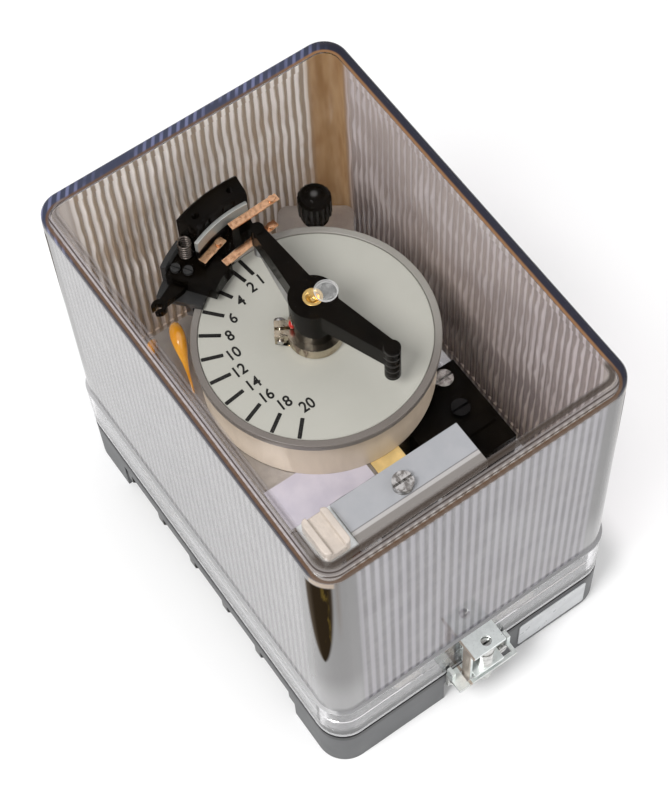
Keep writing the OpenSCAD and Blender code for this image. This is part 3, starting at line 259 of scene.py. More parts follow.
# distance from the middle of the window
GATE_EDGE = (0.0033, 0.00315)
GATE_RING = (0.0025, 0.0029)

# distance from the middle along x or y
CORNER_FROM_X, CORNER_FROM_Y = (0.0365, 0.0400), (0.0555, 0.0590)
END_WALL = (0.0625, 0.0635)
LEFT_FACE = (-0.0460, -0.0475)

# the dark lens of painted reflection down each corner, with its sideways measures along the
# corner's round
LENS_TOP, LENS_LENGTH, LENS_HALF_WIDTH = 0.1310, 0.052, 0.0056
LENS_MIDDLE, LENS_DEEPEST = 0.0024, 0.0018
GOLD_MIDDLE, GOLD_WIDTH = 0.0002, 0.0016
STREAK_MIDDLE, STREAK_WIDTH = -0.0042, 0.0014
CAP_MIDDLE, CAP_HALF_WIDTH = 0.0012, 0.0050

# colours of the walls seen from inside, first on the long sides and then on the ends: ribs
# lighter as painted highlight, grooves and low parts darker as painted shade, the far corner's
# brown runs painted reflection
GROOVE_HIGH = ((0.46, 0.405, 0.37), (0.33, 0.265, 0.19))
GROOVE_LOW = ((0.15, 0.115, 0.10), (0.19, 0.13, 0.075))
RIB_HIGH = ((0.66, 0.61, 0.60), (0.98, 0.945, 0.87))
LOW_BLOTCH = ((0.24, 0.19, 0.165), (0.35, 0.24, 0.14))
RIB_LOW = (0.42, 0.34, 0.27)
GROOVE_SHADED = (0.16, 0.135, 0.13)
CORNER_INSIDE = (0.55, 0.51, 0.46)
FAR_CORNER_REFLECTION = ((0.29, 0.165, 0.073), (0.41, 0.265, 0.135))

# colours of the walls seen from outside, first elsewhere and then on the left face, which is lit
# differently: ribs of painted highlight between darker grooves, and a pale foot line of painted
# highlight
GROOVE_OUTSIDE = ((0.125, 0.122, 0.136), (0.165, 0.163, 0.167))
RIB_OUTSIDE = ((0.29, 0.28, 0.312), (0.275, 0.272, 0.278))
FOOT_LINE_HIGHLIGHT = ((0.27, 0.27, 0.275), (0.47, 0.47, 0.475))
# the corner's low part lighter as painted highlight
CORNER_OUTSIDE = ((0.145, 0.142, 0.143), (0.27, 0.268, 0.27))  # high, then low
HAZE = (0.42, 0.42, 0.43)
# painted reflection at each corner: the streak, the cap above the lens, and the lens's dark and
# gold colours
STREAK_REFLECTION, CAP_REFLECTION = (0.10, 0.078, 0.062), (0.40, 0.30, 0.215)
LENS_DEEP, LENS_EDGE = (0.016, 0.0095, 0.0035), (0.065, 0.05, 0.036)
LENS_GOLD = (0.19, 0.13, 0.022)

# colours of the rim, the window and the foot: the rim's dark, blue and brown colours and the
# lines round the window are painted reflection, the dark band near the front painted shadow, the
# foot's glint a painted highlight, and the gate's pale colour partly frosted plastic and partly
# painted highlight
RIM_DARK_REFLECTION, RIM_BLUE_REFLECTION = (0.014, 0.0145, 0.026), (0.033, 0.038, 0.068)
RIM_GLINT = (0.125, 0.135, 0.235)
LIP_BROWN_REFLECTION, LIP_GOLD_REFLECTION = (0.10, 0.055, 0.03), (0.24, 0.12, 0.05)
NEAR_RIM_REFLECTION = ((0.30, 0.275, 0.285), (0.20, 0.18, 0.175))
NEAR_RIM_REFLECTION_LINE, SHADE_BAND_DARK = (0.045, 0.033, 0.029), (0.035, 0.024, 0.017)
GLASS, WINDOW, SHADOW = (0.86, 0.85, 0.87), (0.97, 0.96, 0.965), (0.90, 0.89, 0.895)
GATE_FROST_AND_HIGHLIGHT, FOOT_GLINT = (0.56, 0.56, 0.55), (0.80, 0.80, 0.82)


def distance(x, y, centre):
    """How far a point lies from the upright line through a centre."""
    return ((x - centre.x) ** 2 + (y - centre.y) ** 2) ** 0.5


def cover_zones(f):
    """Masks from 0 to 1 for the zones of the cover, and the measures that they come from."""
    x, y, z = f.axes()
    side_x, side_y = abs(x), abs(y)

    def reach(across, along):
        past_x = (abs(across) - CORNER_X).most(0.0)
        past_y = (abs(along) - CORNER_Y).most(0.0)
        return (past_x * past_x + past_y * past_y) ** 0.5

    out = reach(x, y)
    seen_out = reach(x + WINDOW_SHIFT[0], y + WINDOW_SHIFT[1])
    outer = out.step(*OUTER_FACE)
    top = z.step(*TOP_FACE)
    ceiling = z.step(*CEILING_HEIGHT) * out.step(*CEILING_EDGE) * (1 - top)
    rim = top * seen_out.step(*RIM_EDGE)
    from_middle = distance(x, y, Vector((0.0, 0.0)))
    gate = from_middle.step(*GATE_EDGE) * z.step(*GATE_HEIGHT)
    ends = side_y.step(*END_WALL)
    sway = (f.noise(12, 1, stretch=(1, 1, 1.1)) - 0.5) * (0.0022 - 0.0007 * ends) * (1 - outer)
    wave_x, wave_y = (x + sway).stripes(FLUTE_PITCH), (y + sway).stripes(FLUTE_PITCH)
    return SimpleNamespace(
        x=x, y=y, z=z, side_x=side_x, side_y=side_y, out=out, outer=outer, top=top,
        ceiling=ceiling, rim=rim, gate=gate, ends=ends, haze=f.noise(9, 3),
        window=ceiling.most(top * seen_out.step(*WINDOW_EDGE)),
        lip=rim * seen_out.step(*LIP_EDGE),
        near_rim=top * out.step(*NEAR_RIM_EDGE) * (1 - rim),
        ring=gate * from_middle.step(*GATE_RING),
        corner=side_x.step(*CORNER_FROM_X) * side_y.step(*CORNER_FROM_Y),
        milk_height=z.step(*MILK_HEIGHT),
        wave=wave_y + (wave_x - wave_y) * ends)


def walls_from_inside(f, cover):
    """Colour of the fluted walls seen through the window, painted light and shade: ribs of
    painted highlight, grooves of painted shade, browner and darker low down as painted shade,
    with dark brown blotches low down.
    """
    x, y, z, ends = cover.x, cover.y, cover.z, cover.ends
    sides = 1 - ends
    # painted shade: grooves darker and browner low down
    groove = f.mix(z.step(0.055, 0.115), f.mix(ends, *GROOVE_LOW), f.mix(ends, *GROOVE_HIGH))
    right_near = sides * y.step(0.010, -0.045) * x.step(0.0, 0.01)
    groove = f.mix(right_near * 0.45, groove, GROOVE_SHADED)
    # painted highlight: ribs lighter high up, palest on the ends
    rib = f.mix(z.step(0.035, 0.105), RIB_LOW, f.mix(ends, *RIB_HIGH))
    inner = f.mix(cover.wave.step(-0.55 + 0.3 * sides, 0.75) * 0.92, groove, rib)
    # dark brown blotches, low down only
    low_blotch = f.noise(16, 3, stretch=(1, 1, 1.6), offset=9).step(0.4, 0.62) * z.step(0.126, 0.100)
    inner = f.mix(low_blotch * (0.25 + 0.35 * ends), inner, f.mix(ends, *LOW_BLOTCH))
    # painted reflection: dark brown runs in the far corner
    runs = f.noise(4, 2, stretch=(1, 1, 5), offset=1).step(0.3, 0.7)
    far_corner = x.step(0.0, 0.004) * y.step(0.0, 0.004)
    plain = f.mix(far_corner, CORNER_INSIDE, f.mix(runs, *FAR_CORNER_REFLECTION))
    return f.mix(cover.corner, inner, plain)


def corner_lens(f, cover):
    """The dark lens of painted reflection in each corner: its mask, its shader, its cap and the
    streak beside it, both painted reflection too.
    """
    z, corner = cover.z, cover.corner
    turn = cover.side_x - cover.side_y + (CORNER_Y - CORNER_X)
    down = ((LENS_TOP - z) / LENS_LENGTH).most(0.0)
    belly = ((1 - down * down).most(0.0) ** 0.5) * LENS_HALF_WIDTH
    body = (belly - abs(turn - LENS_MIDDLE)).step(0.0, 0.0014) * z.step(0.1316, 0.1302) * corner
    cap = ((CAP_HALF_WIDTH - abs(turn - CAP_MIDDLE)).step(0.0, 0.001)
           * z.step(0.1302, 0.1314) * corner)
    streak = ((1 - abs(turn - STREAK_MIDDLE) / STREAK_WIDTH).most(0.0)
              * z.step(0.090, 0.118) * corner)
    gold = (f.noise(2.4, 3, stretch=(1, 1, 6)).step(0.46, 0.62)
            * (1 - abs(turn - GOLD_MIDDLE) / GOLD_WIDTH))
    from_deepest = abs(turn - LENS_DEEPEST) / belly.most(0.001)
    deep = f.mix(from_deepest.step(0.45, 0.95), LENS_DEEP, LENS_EDGE)
    shader = f.surface(f.mix(gold.most(0.0) * 0.7, deep, LENS_GOLD), 0.1, specular_ior_level=0.0)
    return SimpleNamespace(mask=body * cover.outer * (1 - cover.top), shader=shader, cap=cap,
                           streak=streak)


def walls_from_outside(f, cover, lens):
    """Colour of the walls from outside: grey flutes striped with painted highlight, plain corners
    lighter low down as painted highlight, a pale line of painted highlight at the foot.
    """
    left = cover.x.step(*LEFT_FACE)
    facing = f.mix(cover.wave.step(-0.9, 0.9), f.mix(left, *GROOVE_OUTSIDE),
                   f.mix(left, *RIB_OUTSIDE))
    facing = f.mix(cover.haze.step(0.35, 0.7) * 0.16, facing, HAZE)
    facing = f.mix(cover.corner, facing, f.mix(cover.z.step(0.070, 0.048), *CORNER_OUTSIDE))
    facing = f.mix(cover.z.step(*FOOT_LINE_HEIGHT), facing, f.mix(left, *FOOT_LINE_HIGHLIGHT))
    facing = f.mix(lens.streak * 0.75, facing, STREAK_REFLECTION)
    return f.mix(lens.cap * 0.8, facing, CAP_REFLECTION)


def thick_rim(f, cover):
    """Shader of the rim, painted reflection: near black, blue and streaked with glints at the
    back, with a thin brown line along the lip.
    """
    x, y = cover.x, cover.y
    blue = y.step(0.040, 0.056) * x.step(0.046, 0.036)
    glint = ((x - y * 0.7).stripes(FLUTE_PITCH).step(-0.2, 0.9)
             * f.noise(14, 2, offset=5).step(0.35, 0.6))
    edge = f.mix(blue, RIM_DARK_REFLECTION, RIM_BLUE_REFLECTION)
    edge = f.mix(blue * glint, edge, RIM_GLINT)
    right = x.step(0.02, 0.045) * y.step(-0.0635, -0.0590)
    edge = f.mix(cover.lip * 0.9, edge, f.mix(right, LIP_BROWN_REFLECTION, LIP_GOLD_REFLECTION))
    return f.surface(edge, 0.15, specular_ior_level=0.12)


def near_rim(f, cover):
    """Painted reflection of the rim's thin dark lines round the window, and a band of painted
    shadow near the front and left edges: how far they show, and their shader.
    """
    x, y, out = cover.x, cover.y, cover.out
    # painted reflection: thin dark lines round the window
    lines = out.stripes(RIM_LINE_PITCH).step(0.0, 0.8)
    plain = f.mix(y.step(-0.055, -0.060), *NEAR_RIM_REFLECTION)
    lined = f.surface(f.mix(lines, plain, NEAR_RIM_REFLECTION_LINE), 0.15, specular_ior_level=0.2)
    # painted shadow: a dark band over the window near the front and left edges
    near_edges = (y.step(-0.0565, -0.0600) * 0.9).most(x.step(-0.0385, -0.0420) * 0.5)
    shade_band = out.within(*SHADE_BAND_REACH) * cover.top * near_edges
    dark = f.surface(SHADE_BAND_DARK, 0.2, specular_ior_level=0.2)
    shown = (cover.near_rim * (0.70 + 0.22 * lines)).most(shade_band)
    return shown, f.blend(shade_band, lined, dark)


def clear_plastic():
    """Clear moulding: plain window, dark thick rim of painted reflection, milky flutes painted
    browner and darker towards the foot as shade.
    """
    f = Finish("clear_cover")
    cover = cover_zones(f)
    lens = corner_lens(f, cover)
    outer, corner, height = cover.outer, cover.corner, cover.milk_height

    shade = f.mix(outer, walls_from_inside(f, cover), walls_from_outside(f, cover, lens))
    glass = f.surface(GLASS, 0.03, transmission_weight=1.0, ior=1.49)
    cloud = f.surface(shade, 0.05, specular_ior_level=0.22)
    milk = (0.88 - 0.06 * outer + 0.1 * (cover.haze - 0.5)).most(corner * (1 - outer)) * height
    milk = milk.most(outer * (0.90 + 0.07 * corner) * height)
    pane = f.blend(milk * (1 - cover.top) * (1 - cover.ceiling), glass, cloud)

    pane = f.blend(cover.rim * 0.96, pane, thick_rim(f, cover))
    pane = f.blend(lens.mask * 0.985, pane, lens.shader)
    pane = f.blend(cover.window * 0.998, pane, f.clear(WINDOW))
    # the gate's floor veiled pale, as frosted plastic, and its ring painted pale as highlight
    frost_and_highlight = (f.noise(2.2, 2, offset=6).step(0.35, 0.65) * 0.16 + 0.26) * cover.gate
    pane = f.blend(frost_and_highlight.most(cover.ring * 0.62), pane, f.surface(GATE_FROST_AND_HIGHLIGHT, 0.2))
    shown, lined = near_rim(f, cover)
    pane = f.blend(shown, pane, lined)
    glint = cover.z.step(*FOOT_EDGE_HEIGHT) * cover.out.step(*FOOT_EDGE)
    pane = f.blend(glint * 0.4, pane, f.surface(FOOT_GLINT, 0.15))

    shadow = f.add("ShaderNodeLightPath", out="Is Shadow Ray")
    unseen = shadow.most(shadow.beside("Is Diffuse Ray"))
    return f.done(f.blend(unseen, pane, f.clear(SHADOW)))


# ---------------------------------------------------------------- the other finishes
DUST = (0.5, 0.48, 0.45)


def moulded(name, colour, rough=0.3, dust=0.1, coat=0.0, tone=None, shine=0.5, mottle=1.0):
    """Moulded plastic or paint: mottled, finely grained, with smears that change the gloss."""
    f = Finish(name)
    cloud = f.noise(7, 4)
    fine = f.noise(0.35, 2)
    smear = f.noise(3, 3, stretch=(1, 3, 1), offset=2)
    base = f.mix(cloud.step(0.35, 0.7) * mottle, colour, tone or scaled(colour, 1.35, 0.004))
    base = f.mix(fine.step(0.62, 0.8) * dust, base, DUST)
    gloss = rough + (smear.step(0.3, 0.75) - 0.5) * rough * 0.5
    return f.done(f.surface(base, gloss, normal=f.bump(fine, 0.25, 0.05), coat_weight=coat,
                            coat_roughness=0.08, specular_ior_level=shine))


def metal(name, colour, rough=0.3, tone=None, tarnish=0.35, worn=0.0, size=5):
    """Bare or plated metal: streaks of grain, soft tarnish and small scratches."""
    f = Finish(name)
    cloud = f.noise(size, 4)
    lines = f.noise(0.5, 3, stretch=(1, 1, 8))
    base = f.mix(cloud.step(0.4, 0.75) * tarnish, colour, tone or scaled(colour, 0.6))
    base = f.mix(lines.step(0.5, 0.75) * 0.25, base, scaled(colour, 1.25))
    # edges lighter from wear and painted highlight
    if worn:
        base = f.mix(f.worn() * worn, base, scaled(colour, 1.5, 0.1))
    gloss = rough + (cloud - 0.5) * rough * 0.8 + (lines - 0.5) * 0.12
    return f.done(f.surface(base, gloss, 1.0, f.bump(lines, 0.3, 0.012)))


def drum_finish():
    """Cast drum in beige lacquer with runs down its side, the side painted darker towards its top
    as shade, edges lighter from wear and painted highlight, and a grey rim painted paler at the
    back as light.
    """
    high, low, run = (0.57, 0.485, 0.365), (0.70, 0.60, 0.455), (0.47, 0.39, 0.29)
    rim_near_shade, rim_far_lit, edge_wear_and_highlight = (0.17, 0.155, 0.135), (0.30, 0.295, 0.26), (0.42, 0.39, 0.34)
    f = Finish("drum_lacquer")
    x, y, z = f.axes()
    runs = f.noise(6, 3, stretch=(1, 1, 5))
    cloud = f.noise(5, 4)
    rim = z.step(0.0950, 0.0956)
    far = (x + y).step(-0.005, 0.035)
    # painted shade: the side darker towards its top
    base = f.mix(z.step(0.079, 0.094), low, high)
    base = f.mix(runs.step(0.4, 0.7) * 0.4, base, run)
    # painted light: the rim darker at the front as shade and paler at the back as lit
    base = f.mix(rim, base, f.mix(far, rim_near_shade, rim_far_lit))
    # edges lighter from wear and painted highlight
    base = f.mix(f.worn() * 0.5, base, edge_wear_and_highlight)
    return f.done(f.surface(base, 0.34 + (cloud - 0.5) * 0.12, normal=f.bump(cloud, 0.1, 0.1),
                            coat_weight=0.15, coat_roughness=0.2))


def dial_finish():
    """Pale satin dial, clouded, with fine scratches both ways."""
    pale, paler, scratched = (0.470, 0.482, 0.420), (0.51, 0.52, 0.455), (0.62, 0.62, 0.57)
    f = Finish("dial_face")
    along = f.noise(0.22, 2, stretch=(16, 1, 1), offset=3).step(0.66, 0.74)
    across = f.noise(0.22, 2, stretch=(1, 14, 1), offset=7).step(0.68, 0.76)
    cloud = f.noise(18, 3)
    base = f.mix(cloud.step(0.35, 0.7) * 0.5, pale, paler)
    base = f.mix(along.most(across) * 0.35, base, scratched)
    return f.done(f.surface(base, 0.38 + (cloud - 0.5) * 0.15, normal=f.bump(along, 0.15, 0.05)))


def brass_finish():
    """Brass, golden on the bush and paler with brown stains on the collar and below."""
    golden, pale = (0.60, 0.42, 0.15), (0.50, 0.44, 0.335)
    stained, brushed = (0.22, 0.13, 0.06), (0.75, 0.66, 0.45)
    f = Finish("brass")
    z = f.axes()[2]
    cloud = f.noise(3, 4)
    lines = f.noise(0.5, 3, stretch=(1, 1, 8))
    below_bush = z.step(0.108, 0.104)
    base = f.mix(below_bush, golden, pale)
    base = f.mix(cloud.step(0.5, 0.7) * 0.6, base, stained)
    base = f.mix(lines.step(0.5, 0.75) * 0.25, base, brushed)
    return f.done(f.surface(base, 0.24 + (cloud - 0.5) * 0.2, 1.0, f.bump(lines, 0.3, 0.008)))


def steel_finish():
    """Plain steel, with the contact block's plate brushed bright above and painted black below as
    shade.
    """
    steel, dull = (0.5, 0.51, 0.53), (0.30, 0.30, 0.31)
    black, bright, brushed = (0.006, 0.005, 0.004), (0.42, 0.44, 0.41), (0.62, 0.64, 0.60)
    f = Finish("steel")
    _, y, z = f.axes()
    cloud = f.noise(4, 4)
    lines = f.noise(0.4, 3, stretch=(8, 8, 1))
    plate = z.step(0.1050, 0.1054) * y.step(0.0430, 0.0434)
    upper = z.step(0.1096, 0.1102)
    base = f.mix(cloud.step(0.4, 0.75) * 0.35, steel, dull)
    # painted shade: the plate's lower half black, its upper half brushed bright
    base = f.mix(plate, base, f.mix(upper, black, bright))
    base = f.mix(lines.step(0.5, 0.75) * 0.3 * upper, base, brushed)
    return f.done(f.surface(base, 0.34 + (lines - 0.5) * 0.2, 1 - 0.55 * plate,
                            f.bump(lines, 0.3, 0.01)))


def screw_finish():
    """Nickel of the screws with dark patches, partly stains and partly painted reflection, darker
    on the high ones as painted reflection, and one small screw painted dark as shade.
    """
    nickel, scratched, dark = (0.62, 0.62, 0.60), (0.80, 0.80, 0.79), (0.02, 0.02, 0.02)
    reflection_and_stain_low, reflection_and_stain_high = (0.42, 0.415, 0.40), (0.22, 0.21, 0.195)
    f = Finish("bright_screw")
    x, y, z = f.axes()
    patch = f.noise(1.6, 3)
    lines = f.noise(0.3, 3, stretch=(1, 6, 1))
    high = z.step(0.070, 0.071)
    small = y.step(-0.0185, -0.0195) * x.step(0.020, 0.021) * z.step(0.060, 0.061)
    # dark patches: stains and painted reflection, darker on the high screws as painted reflection
    base = f.mix(patch.step(0.38, 0.62), nickel, f.mix(high, reflection_and_stain_low, reflection_and_stain_high))
    base = f.mix(lines.step(0.55, 0.75) * 0.4, base, scratched)
    # painted shade: one screw dark all over
    base = f.mix(small, base, dark)
    return f.done(f.surface(base, 0.24 + (patch - 0.5) * 0.2, 1.0, f.bump(patch, 0.35, 0.08)))


def plate_finish():
    """Painted name plate, left bare; where it folds, a dark line of painted shade along the bend
    and a strip of painted highlight, with painted shade below it.
    """
    paint, paler, speck = (0.40, 0.425, 0.44), (0.47, 0.49, 0.50), (0.25, 0.25, 0.25)
    fold_highlight, fold_shade, crease_shade = (0.50, 0.50, 0.48), (0.25, 0.24, 0.22), (0.17, 0.17, 0.17)
    fold_y, crease_half = -0.0415, 0.00022
    f = Finish("name_plate")
    y = f.axes()[1]
    cloud = f.noise(6, 4)
    fine = f.noise(0.4, 2)
    fold = y.step(fold_y + 0.0001, fold_y - 0.0001)
    shade_band = (crease_half - abs(y - fold_y)).step(0.0, 0.0001)
    base = f.mix(cloud.step(0.35, 0.7) * 0.5, paint, paler)
    base = f.mix(fine.step(0.66, 0.78) * 0.15, base, speck)
    # painted light: the folded strip lighter as highlight, darker further down as shade
    base = f.mix(fold, base, f.mix(y.step(-0.0426, -0.0430), fold_highlight, fold_shade))
    # painted shade: a dark line along the fold
    base = f.mix(shade_band * 0.8, base, crease_shade)
    return f.done(f.surface(base, 0.32 + (cloud - 0.5) * 0.2, normal=f.bump(fine, 0.2, 0.02)))


def base_finish():
    """Dark grey moulding, lighter along its edges from wear and painted highlight, with a black
    line of painted shadow where it meets the gasket.
    """
    grey, paler = (0.062, 0.0645, 0.068), (0.085, 0.087, 0.09)
    edge_wear_and_highlight, black = (0.235, 0.24, 0.25), (0.006, 0.006, 0.007)
    f = Finish("dark_moulding")
    z = f.axes()[2]
    cloud = f.noise(9, 4)
    fine = f.noise(0.35, 2)
    seam_shadow = z.within((0.0176, 0.0180), (0.0203, 0.0200))
    base = f.mix(cloud.step(0.35, 0.7) * 0.12, grey, paler)
    base = f.mix(fine.step(0.62, 0.8) * 0.03, base, DUST)
    # edges lighter from wear and painted highlight
    base = f.mix(f.worn() * 0.3, base, edge_wear_and_highlight)
    # painted shadow: a black line along the top of the base where it meets the gasket
    base = f.mix(seam_shadow, base, black)
    return f.done(f.surface(base, 0.45 + (cloud - 0.5) * 0.15, normal=f.bump(fine, 0.25, 0.05)))


def black_finish():
    """Glossy black of the arm and contact block, with painted highlights on the knob's ridges and
    crown and in rings on the peg.
    """
    black, softer = (0.0026, 0.0020, 0.0013), (0.0050, 0.0038, 0.0024)
    ridge_highlight, crown_highlight, ring_highlight = ((0.075, 0.075, 0.068), (0.10, 0.10, 0.095),
                                         (0.055, 0.053, 0.048))
    peg_centre, ring_pitch = CLOCK + Vector((7.97, -25.27)) * MM, 0.0031
    f = Finish("black_moulding")
    x, y, z = f.axes()
    low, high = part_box("knob")
    cloud = f.noise(7, 4)
    from_knob = distance(x, y, (low + high) / 2)
    grip = from_knob.step(0.0060, 0.0058) * z.step(low.z - 0.0005, low.z)
    ridge = from_knob.step(0.0048, 0.0051) * z.step(high.z - 0.0004, high.z - 0.0014)
    crown = from_knob.step(0.0015, 0.0003) * z.step(high.z - 0.0006, high.z - 0.0003)
    from_peg = distance(x, y, peg_centre)
    peg_side = from_peg.within((0.0026, 0.0025), (0.0017, 0.0021))
    rings = z.stripes(ring_pitch).step(0.55, 0.9)
    base = f.mix(cloud.step(0.35, 0.7), black, softer)
    # painted highlights: lighter ridges and crown on the knob, lighter rings on the peg
    base = f.mix(grip * ridge, base, ridge_highlight)
    base = f.mix(grip * crown * 0.8, base, crown_highlight)
    base = f.mix(peg_side * rings * 0.7, base, ring_highlight)
    return f.done(f.surface(base, 0.16 + (cloud - 0.5) * 0.05, specular_ior_level=0.045))


def zinc_finish():
    """Zinc plate, patchy grey green, rusty and painted darker as shade low down, edges lighter
    from wear and painted highlight, with a tan cheek on the cover bracket.
    """
    zinc, rust_and_shade, edge_wear_and_highlight, tan = ((0.80, 0.845, 0.83), (0.10, 0.06, 0.035), (0.85, 0.87, 0.86),
                               (0.34, 0.255, 0.19))
    f = Finish("zinc_plate")
    x, _, z = f.axes()
    patch = f.noise(2.2, 4)
    fine = f.noise(0.5, 3, offset=4)
    low = z.step(0.0208, 0.0190) * fine.step(0.25, 0.50)
    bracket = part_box("cover_bracket_front")[0]
    cheek = (x.within((bracket.x + 0.0006, bracket.x + 0.0003),
                      (bracket.x - 0.0006, bracket.x - 0.0003))
             * z.step(bracket.z + 0.0005, bracket.z + 0.0010))
    base = f.mix(patch.step(0.35, 0.7) * 0.6, zinc, scaled(zinc, 0.72))
    # darker low down from rusty colour and painted shade, with scattered rusty spots elsewhere
    base = f.mix(low.most(fine.step(0.62, 0.72) * 0.5) * 0.5, base, rust_and_shade)
    # edges lighter from wear and painted highlight
    base = f.mix(f.worn(0.15) * 0.5, base, edge_wear_and_highlight)
    base = f.mix(cheek * 0.85, base, tan)
    return f.done(f.surface(base, 0.33 + (patch - 0.5) * 0.25, 0.72 - 0.25 * low,
                            f.bump(fine, 0.2, 0.05)))


FINISHES = {
    "dark_moulding": base_finish(),
    "black_moulding": black_finish(),
    "gasket_rubber": moulded("gasket_rubber", (0.009, 0.009, 0.01), rough=0.7, shine=0.3),
    "zinc_plate": zinc_finish(),
    "bright_screw": screw_finish(),
    "brass": brass_finish(),
    "steel": steel_finish(),
    "chassis_paint": moulded("chassis_paint", (0.22, 0.205, 0.18), rough=0.4),
    "coil_wrap": moulded("coil_wrap", (0.5, 0.38, 0.18), rough=0.5),
    "coil_bobbin": moulded("coil_bobbin", (0.10, 0.05, 0.03), rough=0.4),
    "spring_steel": metal("spring_steel", (0.13, 0.115, 0.10), worn=0.2),
    "lever_brass": metal("lever_brass", (0.66, 0.55, 0.33)),
    "copper": metal("copper", (0.72, 0.44, 0.26), rough=0.2, tone=(0.34, 0.16, 0.075),
                    tarnish=0.85, size=1.1, worn=0.5),
    "plate_nickel": metal("plate_nickel", (0.42, 0.40, 0.375), rough=0.36),
    "drum_lacquer": drum_finish(),
    "dial_face": dial_finish(),
    "bracket_black": moulded("bracket_black", (0.026, 0.027, 0.026), rough=0.4, dust=0.04,
                             shine=0.2),
    "name_plate": plate_finish(),
    "label": moulded("label", (0.46, 0.47, 0.48), rough=0.35, mottle=0.4),
    "cream_moulding": moulded("cream_moulding", (0.60, 0.55, 0.475), mottle=0.6),
    "yellow_insulation": moulded("yellow_insulation", (0.68, 0.50, 0.20), rough=0.35),
    "amber_sleeve": moulded("amber_sleeve", (0.66, 0.27, 0.012), rough=0.12, coat=1.0,
                            mottle=0.6, tone=(0.86, 0.46, 0.06), dust=0.02),
    "clear_cover": clear_plastic(),
}

for node, slot in SLOT.items():
    shown = nodes[node]
    shown.data.materials.clear()
    shown.data.materials.append(FINISHES[slot])


# ---------------------------------------------------------------- making pieces
def deselect():
    if bpy.context.object and bpy.context.object.mode != "OBJECT":
        bpy.ops.object.mode_set(mode="OBJECT")
    bpy.ops.object.select_all(action="DESELECT")


def activate(piece):
    deselect()
    piece.select_set(True)
    bpy.context.view_layer.objects.active = piece


@contextmanager
def editing(piece):
    """Edit mode on a piece, with its whole mesh selected."""
    activate(piece)
    bpy.ops.object.mode_set(mode="EDIT")
    bpy.ops.mesh.select_all(action="SELECT")
    yield
    bpy.ops.object.mode_set(mode="OBJECT")


def modify(piece, kind, **settings):
    """Adds a modifier to a piece and applies it."""
    modifier = piece.modifiers.new(kind.lower(), kind)
    for key, value in settings.items():
        setattr(modifier, key, value)
    activate(piece)
    bpy.ops.object.modifier_apply(modifier=modifier.name)


def shade(piece, smooth=35):
    """Smooth shading up to an angle in degrees, with flat faces kept flat."""
    activate(piece)
    bpy.ops.object.shade_smooth_by_angle(angle=math.radians(smooth))
    modify(piece, "WEIGHTED_NORMAL", keep_sharp=True)


def link_copy(piece):
    """A second piece with a mesh of its own."""
    twin = piece.copy()
    twin.data = piece.data.copy()
    bpy.context.scene.collection.objects.link(twin)
    return twin


def refined(node, width=0.0, segments=2, smooth=35):
    """A merged copy of a CAD node with edges rounded by a width in mm, to stand for it."""
    piece = link_copy(nodes[node])
    piece.parent = None
    piece.name = node + "_shown"
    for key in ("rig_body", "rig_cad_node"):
        if key in piece:
            del piece[key]
    with editing(piece):
        bpy.ops.mesh.remove_doubles(threshold=0.002 * MM)
        bpy.ops.mesh.dissolve_limited(angle_limit=math.radians(0.5))
    if width:
        modify(piece, "BEVEL", width=width * MM, segments=segments, limit_method="ANGLE",
               angle_limit=math.radians(35), harden_normals=False)
    shade(piece, smooth)
    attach(piece, nodes[node]["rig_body"])
    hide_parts(node)
    return piece


def join(pieces, name):
    deselect()
    for piece in pieces:
        piece.select_set(True)
    bpy.context.view_layer.objects.active = pieces[0]
    bpy.ops.object.join()
    whole = bpy.context.object
    whole.name = name
    return whole


def put(piece, *steps):
    """Moves a piece's mesh by matrices, the last one first, and leaves its origin in place."""
    activate(piece)
    place = piece.matrix_world.copy()
    for step in reversed(steps):
        place = step @ place
    piece.matrix_world = place
    bpy.ops.object.transform_apply(location=True, rotation=True, scale=True)


def move(x, y, z):
    return Matrix.Translation((x, y, z))


def spin(degrees):
    return Matrix.Rotation(math.radians(degrees), 4, "Z")


def scale(x, y, z=1.0):
    return Matrix.Diagonal((x, y, z, 1))


def finish_piece(piece, body, material):
    piece.data.materials.clear()
    piece.data.materials.append(material)
    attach(piece, body)


# ---------------------------------------------------------------- pieces from the CAD nodes
# how wide each node's edges are rounded in mm, and in how many segments
ROUNDED = {
    "base": (0.5, 2), "terminal_block_left": (0.3, 1), "terminal_block_right": (0.3, 1),
    "latch_bracket_front": (0.2, 2), "latch_bracket_rear": (0.2, 2),
    "cover_bracket_front": (0.25, 2), "cover_bracket_rear": (0.25, 2),
    "cover_screw_front": (0.2, 2), "cover_screw_rear": (0.2, 2), "bracket_screws": (0.4, 3),
    "yoke": (0.4, 2), "switch_block": (0.5, 2), "switch_screws": (0.7, 3),
    "switch_contacts": (0.1, 1), "upper_plate": (0.2, 2), "drum": (0.35, 2),
    "dial": (0.15, 1), "arm": (0.45, 3), "hub_bush": (0.2, 2), "hub_collar": (0.3, 2),
    "collar_screw": (0.25, 2), "arm_contact": (0.15, 1), "block_bracket": (0.3, 2),
    "block_body": (0.4, 2), "block_plate": (0.2, 2), "block_contacts": (0.12, 2),
    "block_finger": (0.4, 2), "block_screws": (0.2, 2), "knob": (0.18, 2),
    "nameplate_bracket": (0.2, 1), "nameplate": (0.3, 3), "nameplate_screw": (0.9, 4),
    "lead_block": (0.6, 3), "insulation_block": (0.3, 2), "chassis": (0.3, 1),
    "chassis_screws": (0.5, 2), "front_label": (0.12, 1),
}
SPRING_SMOOTH = 70

refined("cover")
for node, (width, segments) in ROUNDED.items():
    refined(node, width, segments)
refined("block_spring", smooth=SPRING_SMOOTH)
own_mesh(refined("return_spring", smooth=SPRING_SMOOTH))

